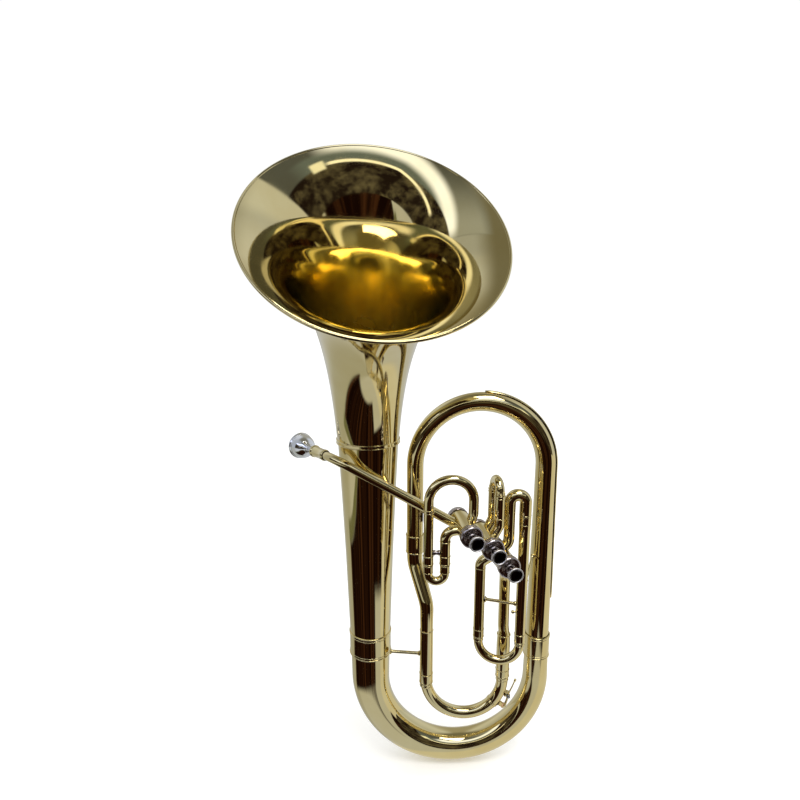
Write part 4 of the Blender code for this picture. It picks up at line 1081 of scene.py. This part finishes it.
def studio_dome():
    """The walls and ceiling that the plate reflects: dark in front, with strip lights, pale elsewhere."""
    rows, n, radius = [], 96, 3.4
    for k in range(25):
        e = math.radians(90 * k / 24)
        rows.append([(radius * math.cos(e) * math.cos(2 * math.pi * j / n), radius * math.cos(e) * math.sin(2 * math.pi * j / n), 0.003 + radius * math.sin(e) * 0.85) for j in range(n)])
    verts = [p for r in rows for p in r]
    faces = [(k * n + j, k * n + (j + 1) % n, (k + 1) * n + (j + 1) % n, (k + 1) * n + j) for k in range(24) for j in range(n)]
    mesh = bpy.data.meshes.new("studio_dome")
    mesh.from_pydata(verts, [], faces)
    m, t, e = glow("studio_dome")
    coord, az, el, flat = angles(t, (0.0, -0.05, 0.76))
    base = node(t, "ShaderNodeRGB")
    base.outputs[0].default_value = (0.46, 0.48, 0.51, 1)
    c = base.outputs[0]
    c = over(t, c, step(t, sums(t, "ABSOLUTE", az), 95.0, 150.0), (0.68, 0.71, 0.76))
    c = over(t, c, step(t, sums(t, "ABSOLUTE", az), 148.0, 172.0), (0.40, 0.385, 0.32))
    c = over(t, c, inside(t, az, -112.0, -78.0, 8.0), (0.44, 0.47, 0.52))
    c = over(t, c, inside(t, az, 76.0, 110.0, 8.0), (0.66, 0.68, 0.70))
    c = over(t, c, step(t, el, 40.0, 66.0), (0.20, 0.19, 0.145))
    room = inside(t, az, -86.0, 82.0, 1.5)
    # ceiling of the room ahead
    above = sums(t, "MULTIPLY", room, sums(t, "SUBTRACT", 1.0, step(t, el, 52.0, 66.0)))
    c = over(t, c, above, (0.105, 0.115, 0.125))
    c = over(t, c, sums(t, "MULTIPLY", above, step(t, sums(t, "MULTIPLY", az, -1.0), 12.0, 78.0)), (0.40, 0.43, 0.47))
    mid = sums(t, "MULTIPLY", room, sums(t, "SUBTRACT", 1.0, step(t, el, 29.0, 33.0)))
    c = over(t, c, sums(t, "MULTIPLY", mid, inside(t, az, -50.0, 60.0, 9.0)), (0.16, 0.20, 0.225))
    right = sums(t, "MAXIMUM", sums(t, "SUBTRACT", sums(t, "MULTIPLY", az, -1.0), 5.0), 0.0)
    el_a = sums(t, "ADD", el, sums(t, "MULTIPLY", right, 0.26))
    c = over(t, c, sums(t, "MULTIPLY", inside(t, az, -82.0, 40.0, 9.0), inside(t, el_a, 31.0, 45.0, 4.5)), (1.42, 1.55, 2.05))
    # wall ahead: dark, with blurred shapes
    n1 = node(t, "ShaderNodeTexNoise")
    n1.inputs["Scale"].default_value = 1.7
    n1.inputs["Detail"].default_value = 6.0
    n1.inputs["Roughness"].default_value = 0.65
    t.links.new(coord.outputs["Object"], n1.inputs["Vector"])
    r = node(t, "ShaderNodeValToRGB")
    r.color_ramp.elements[0].position = 0.44
    r.color_ramp.elements[0].color = (0.016, 0.010, 0.008, 1)
    r.color_ramp.elements[1].position = 0.72
    r.color_ramp.elements[1].color = (0.17, 0.15, 0.10, 1)
    t.links.new(n1.outputs["Fac"], r.inputs["Fac"])
    low = sums(t, "MULTIPLY", room, sums(t, "SUBTRACT", 1.0, step(t, el, 17.5, 19.5)))
    c = over(t, c, low, r.outputs["Color"])
    el_b = sums(t, "ADD", el, sums(t, "MULTIPLY", right, 0.30))
    c = over(t, c, sums(t, "MULTIPLY", inside(t, az, -52.0, 40.0, 3.0), inside(t, el_b, 18.6, 21.4, 0.5)), (1.5, 1.45, 1.3))
    c = over(t, c, sums(t, "MULTIPLY", inside(t, az, 42.0, 52.0, 1.2), inside(t, el, 16.0, 24.0, 1.2)), (1.2, 1.2, 1.05))
    t.links.new(c, e.inputs["Color"])
    mesh.materials.append(m)
    o = bpy.data.objects.new("studio_dome", mesh)
    bpy.context.scene.collection.objects.link(o)
    flag(o)


def studio_ground():
    """The ground that the plate reflects: a dark walkway in front and a paler surround."""
    n = 96
    verts = [(3.4 * math.cos(2 * math.pi * j / n), 3.4 * math.sin(2 * math.pi * j / n), 0.003) for j in range(n)]
    mesh = bpy.data.meshes.new("studio_ground")
    mesh.from_pydata(verts, [], [tuple(range(n))])
    m, t, e = glow("studio_ground")
    coord, az, el, flat = angles(t, (-0.05, 0.10, 0.0))
    base = node(t, "ShaderNodeRGB")
    base.outputs[0].default_value = (0.56, 0.58, 0.61, 1)
    c = base.outputs[0]
    c = over(t, c, inside(t, az, -140.0, -84.0, 12.0), (0.44, 0.45, 0.42))
    c = over(t, c, inside(t, az, 60.0, 130.0, 5.0), (0.70, 0.68, 0.60))
    side = node(t, "ShaderNodeSeparateXYZ")
    t.links.new(coord.outputs["Object"], side.inputs[0])
    east = side.outputs["X"]
    near_side = sums(t, "MULTIPLY", sums(t, "MULTIPLY", step(t, flat, 0.15, 0.19), inside(t, az, -97.0, 27.0, 3.0)), step(t, east, -0.78, -0.72))
    far_side = sums(t, "MULTIPLY", step(t, flat, 0.40, 0.48), inside(t, az, 20.0, 63.0, 2.0))
    walk = sums(t, "MAXIMUM", near_side, far_side)
    c = over(t, c, sums(t, "MULTIPLY", sums(t, "MULTIPLY", inside(t, east, -0.88, -0.75, 0.02), inside(t, az, -100.0, -20.0, 3.0)), 1.0), (0.17, 0.18, 0.10))
    c = over(t, c, walk, (0.0075, 0.0025, 0.0015))
    n1 = node(t, "ShaderNodeTexNoise", noise_dimensions="1D")
    n1.inputs["Scale"].default_value = 0.10
    n1.inputs["Detail"].default_value = 2.0
    t.links.new(az, n1.inputs["W"])
    streak = sums(t, "MULTIPLY", walk, step(t, n1.outputs["Fac"], 0.42, 0.75))
    c = over(t, c, streak, (0.065, 0.026, 0.013))
    t.links.new(c, e.inputs["Color"])
    mesh.materials.append(m)
    o = bpy.data.objects.new("studio_ground", mesh)
    bpy.context.scene.collection.objects.link(o)
    flag(o)


studio_dome()
studio_ground()


def area(name, centre, target, size, power, colour=(1, 1, 1)):
    data = bpy.data.lights.new(name, "AREA")
    data.shape = "RECTANGLE"
    data.size, data.size_y = size
    data.energy = power
    data.color = colour
    o = bpy.data.objects.new(name, data)
    o.location = centre
    o.rotation_euler = (Vector(target) - Vector(centre)).to_track_quat("-Z", "Y").to_euler()
    bpy.context.scene.collection.objects.link(o)
    return o


area("softbox_top", (0.35, -0.75, 2.4), (0, 0, 0.5), (1.3, 0.9), 26, (1, 0.98, 0.95))

cam = bpy.data.cameras.new("camera")
cam.lens = 27.0
cam.sensor_width = 36.0
cam.sensor_fit = "HORIZONTAL"
cam.clip_start = 0.02
eye = (np.array((0.0, -780.0, 714.0)) - ORIGIN) * 0.001
camera = bpy.data.objects.new("camera", cam)
camera.location = eye
camera.rotation_euler = (math.radians(90 - 11.9), 0, 0)
bpy.context.scene.collection.objects.link(camera)
bpy.context.scene.camera = camera
bpy.context.scene.view_settings.view_transform = "Standard"
bpy.context.scene.view_settings.look = "None"
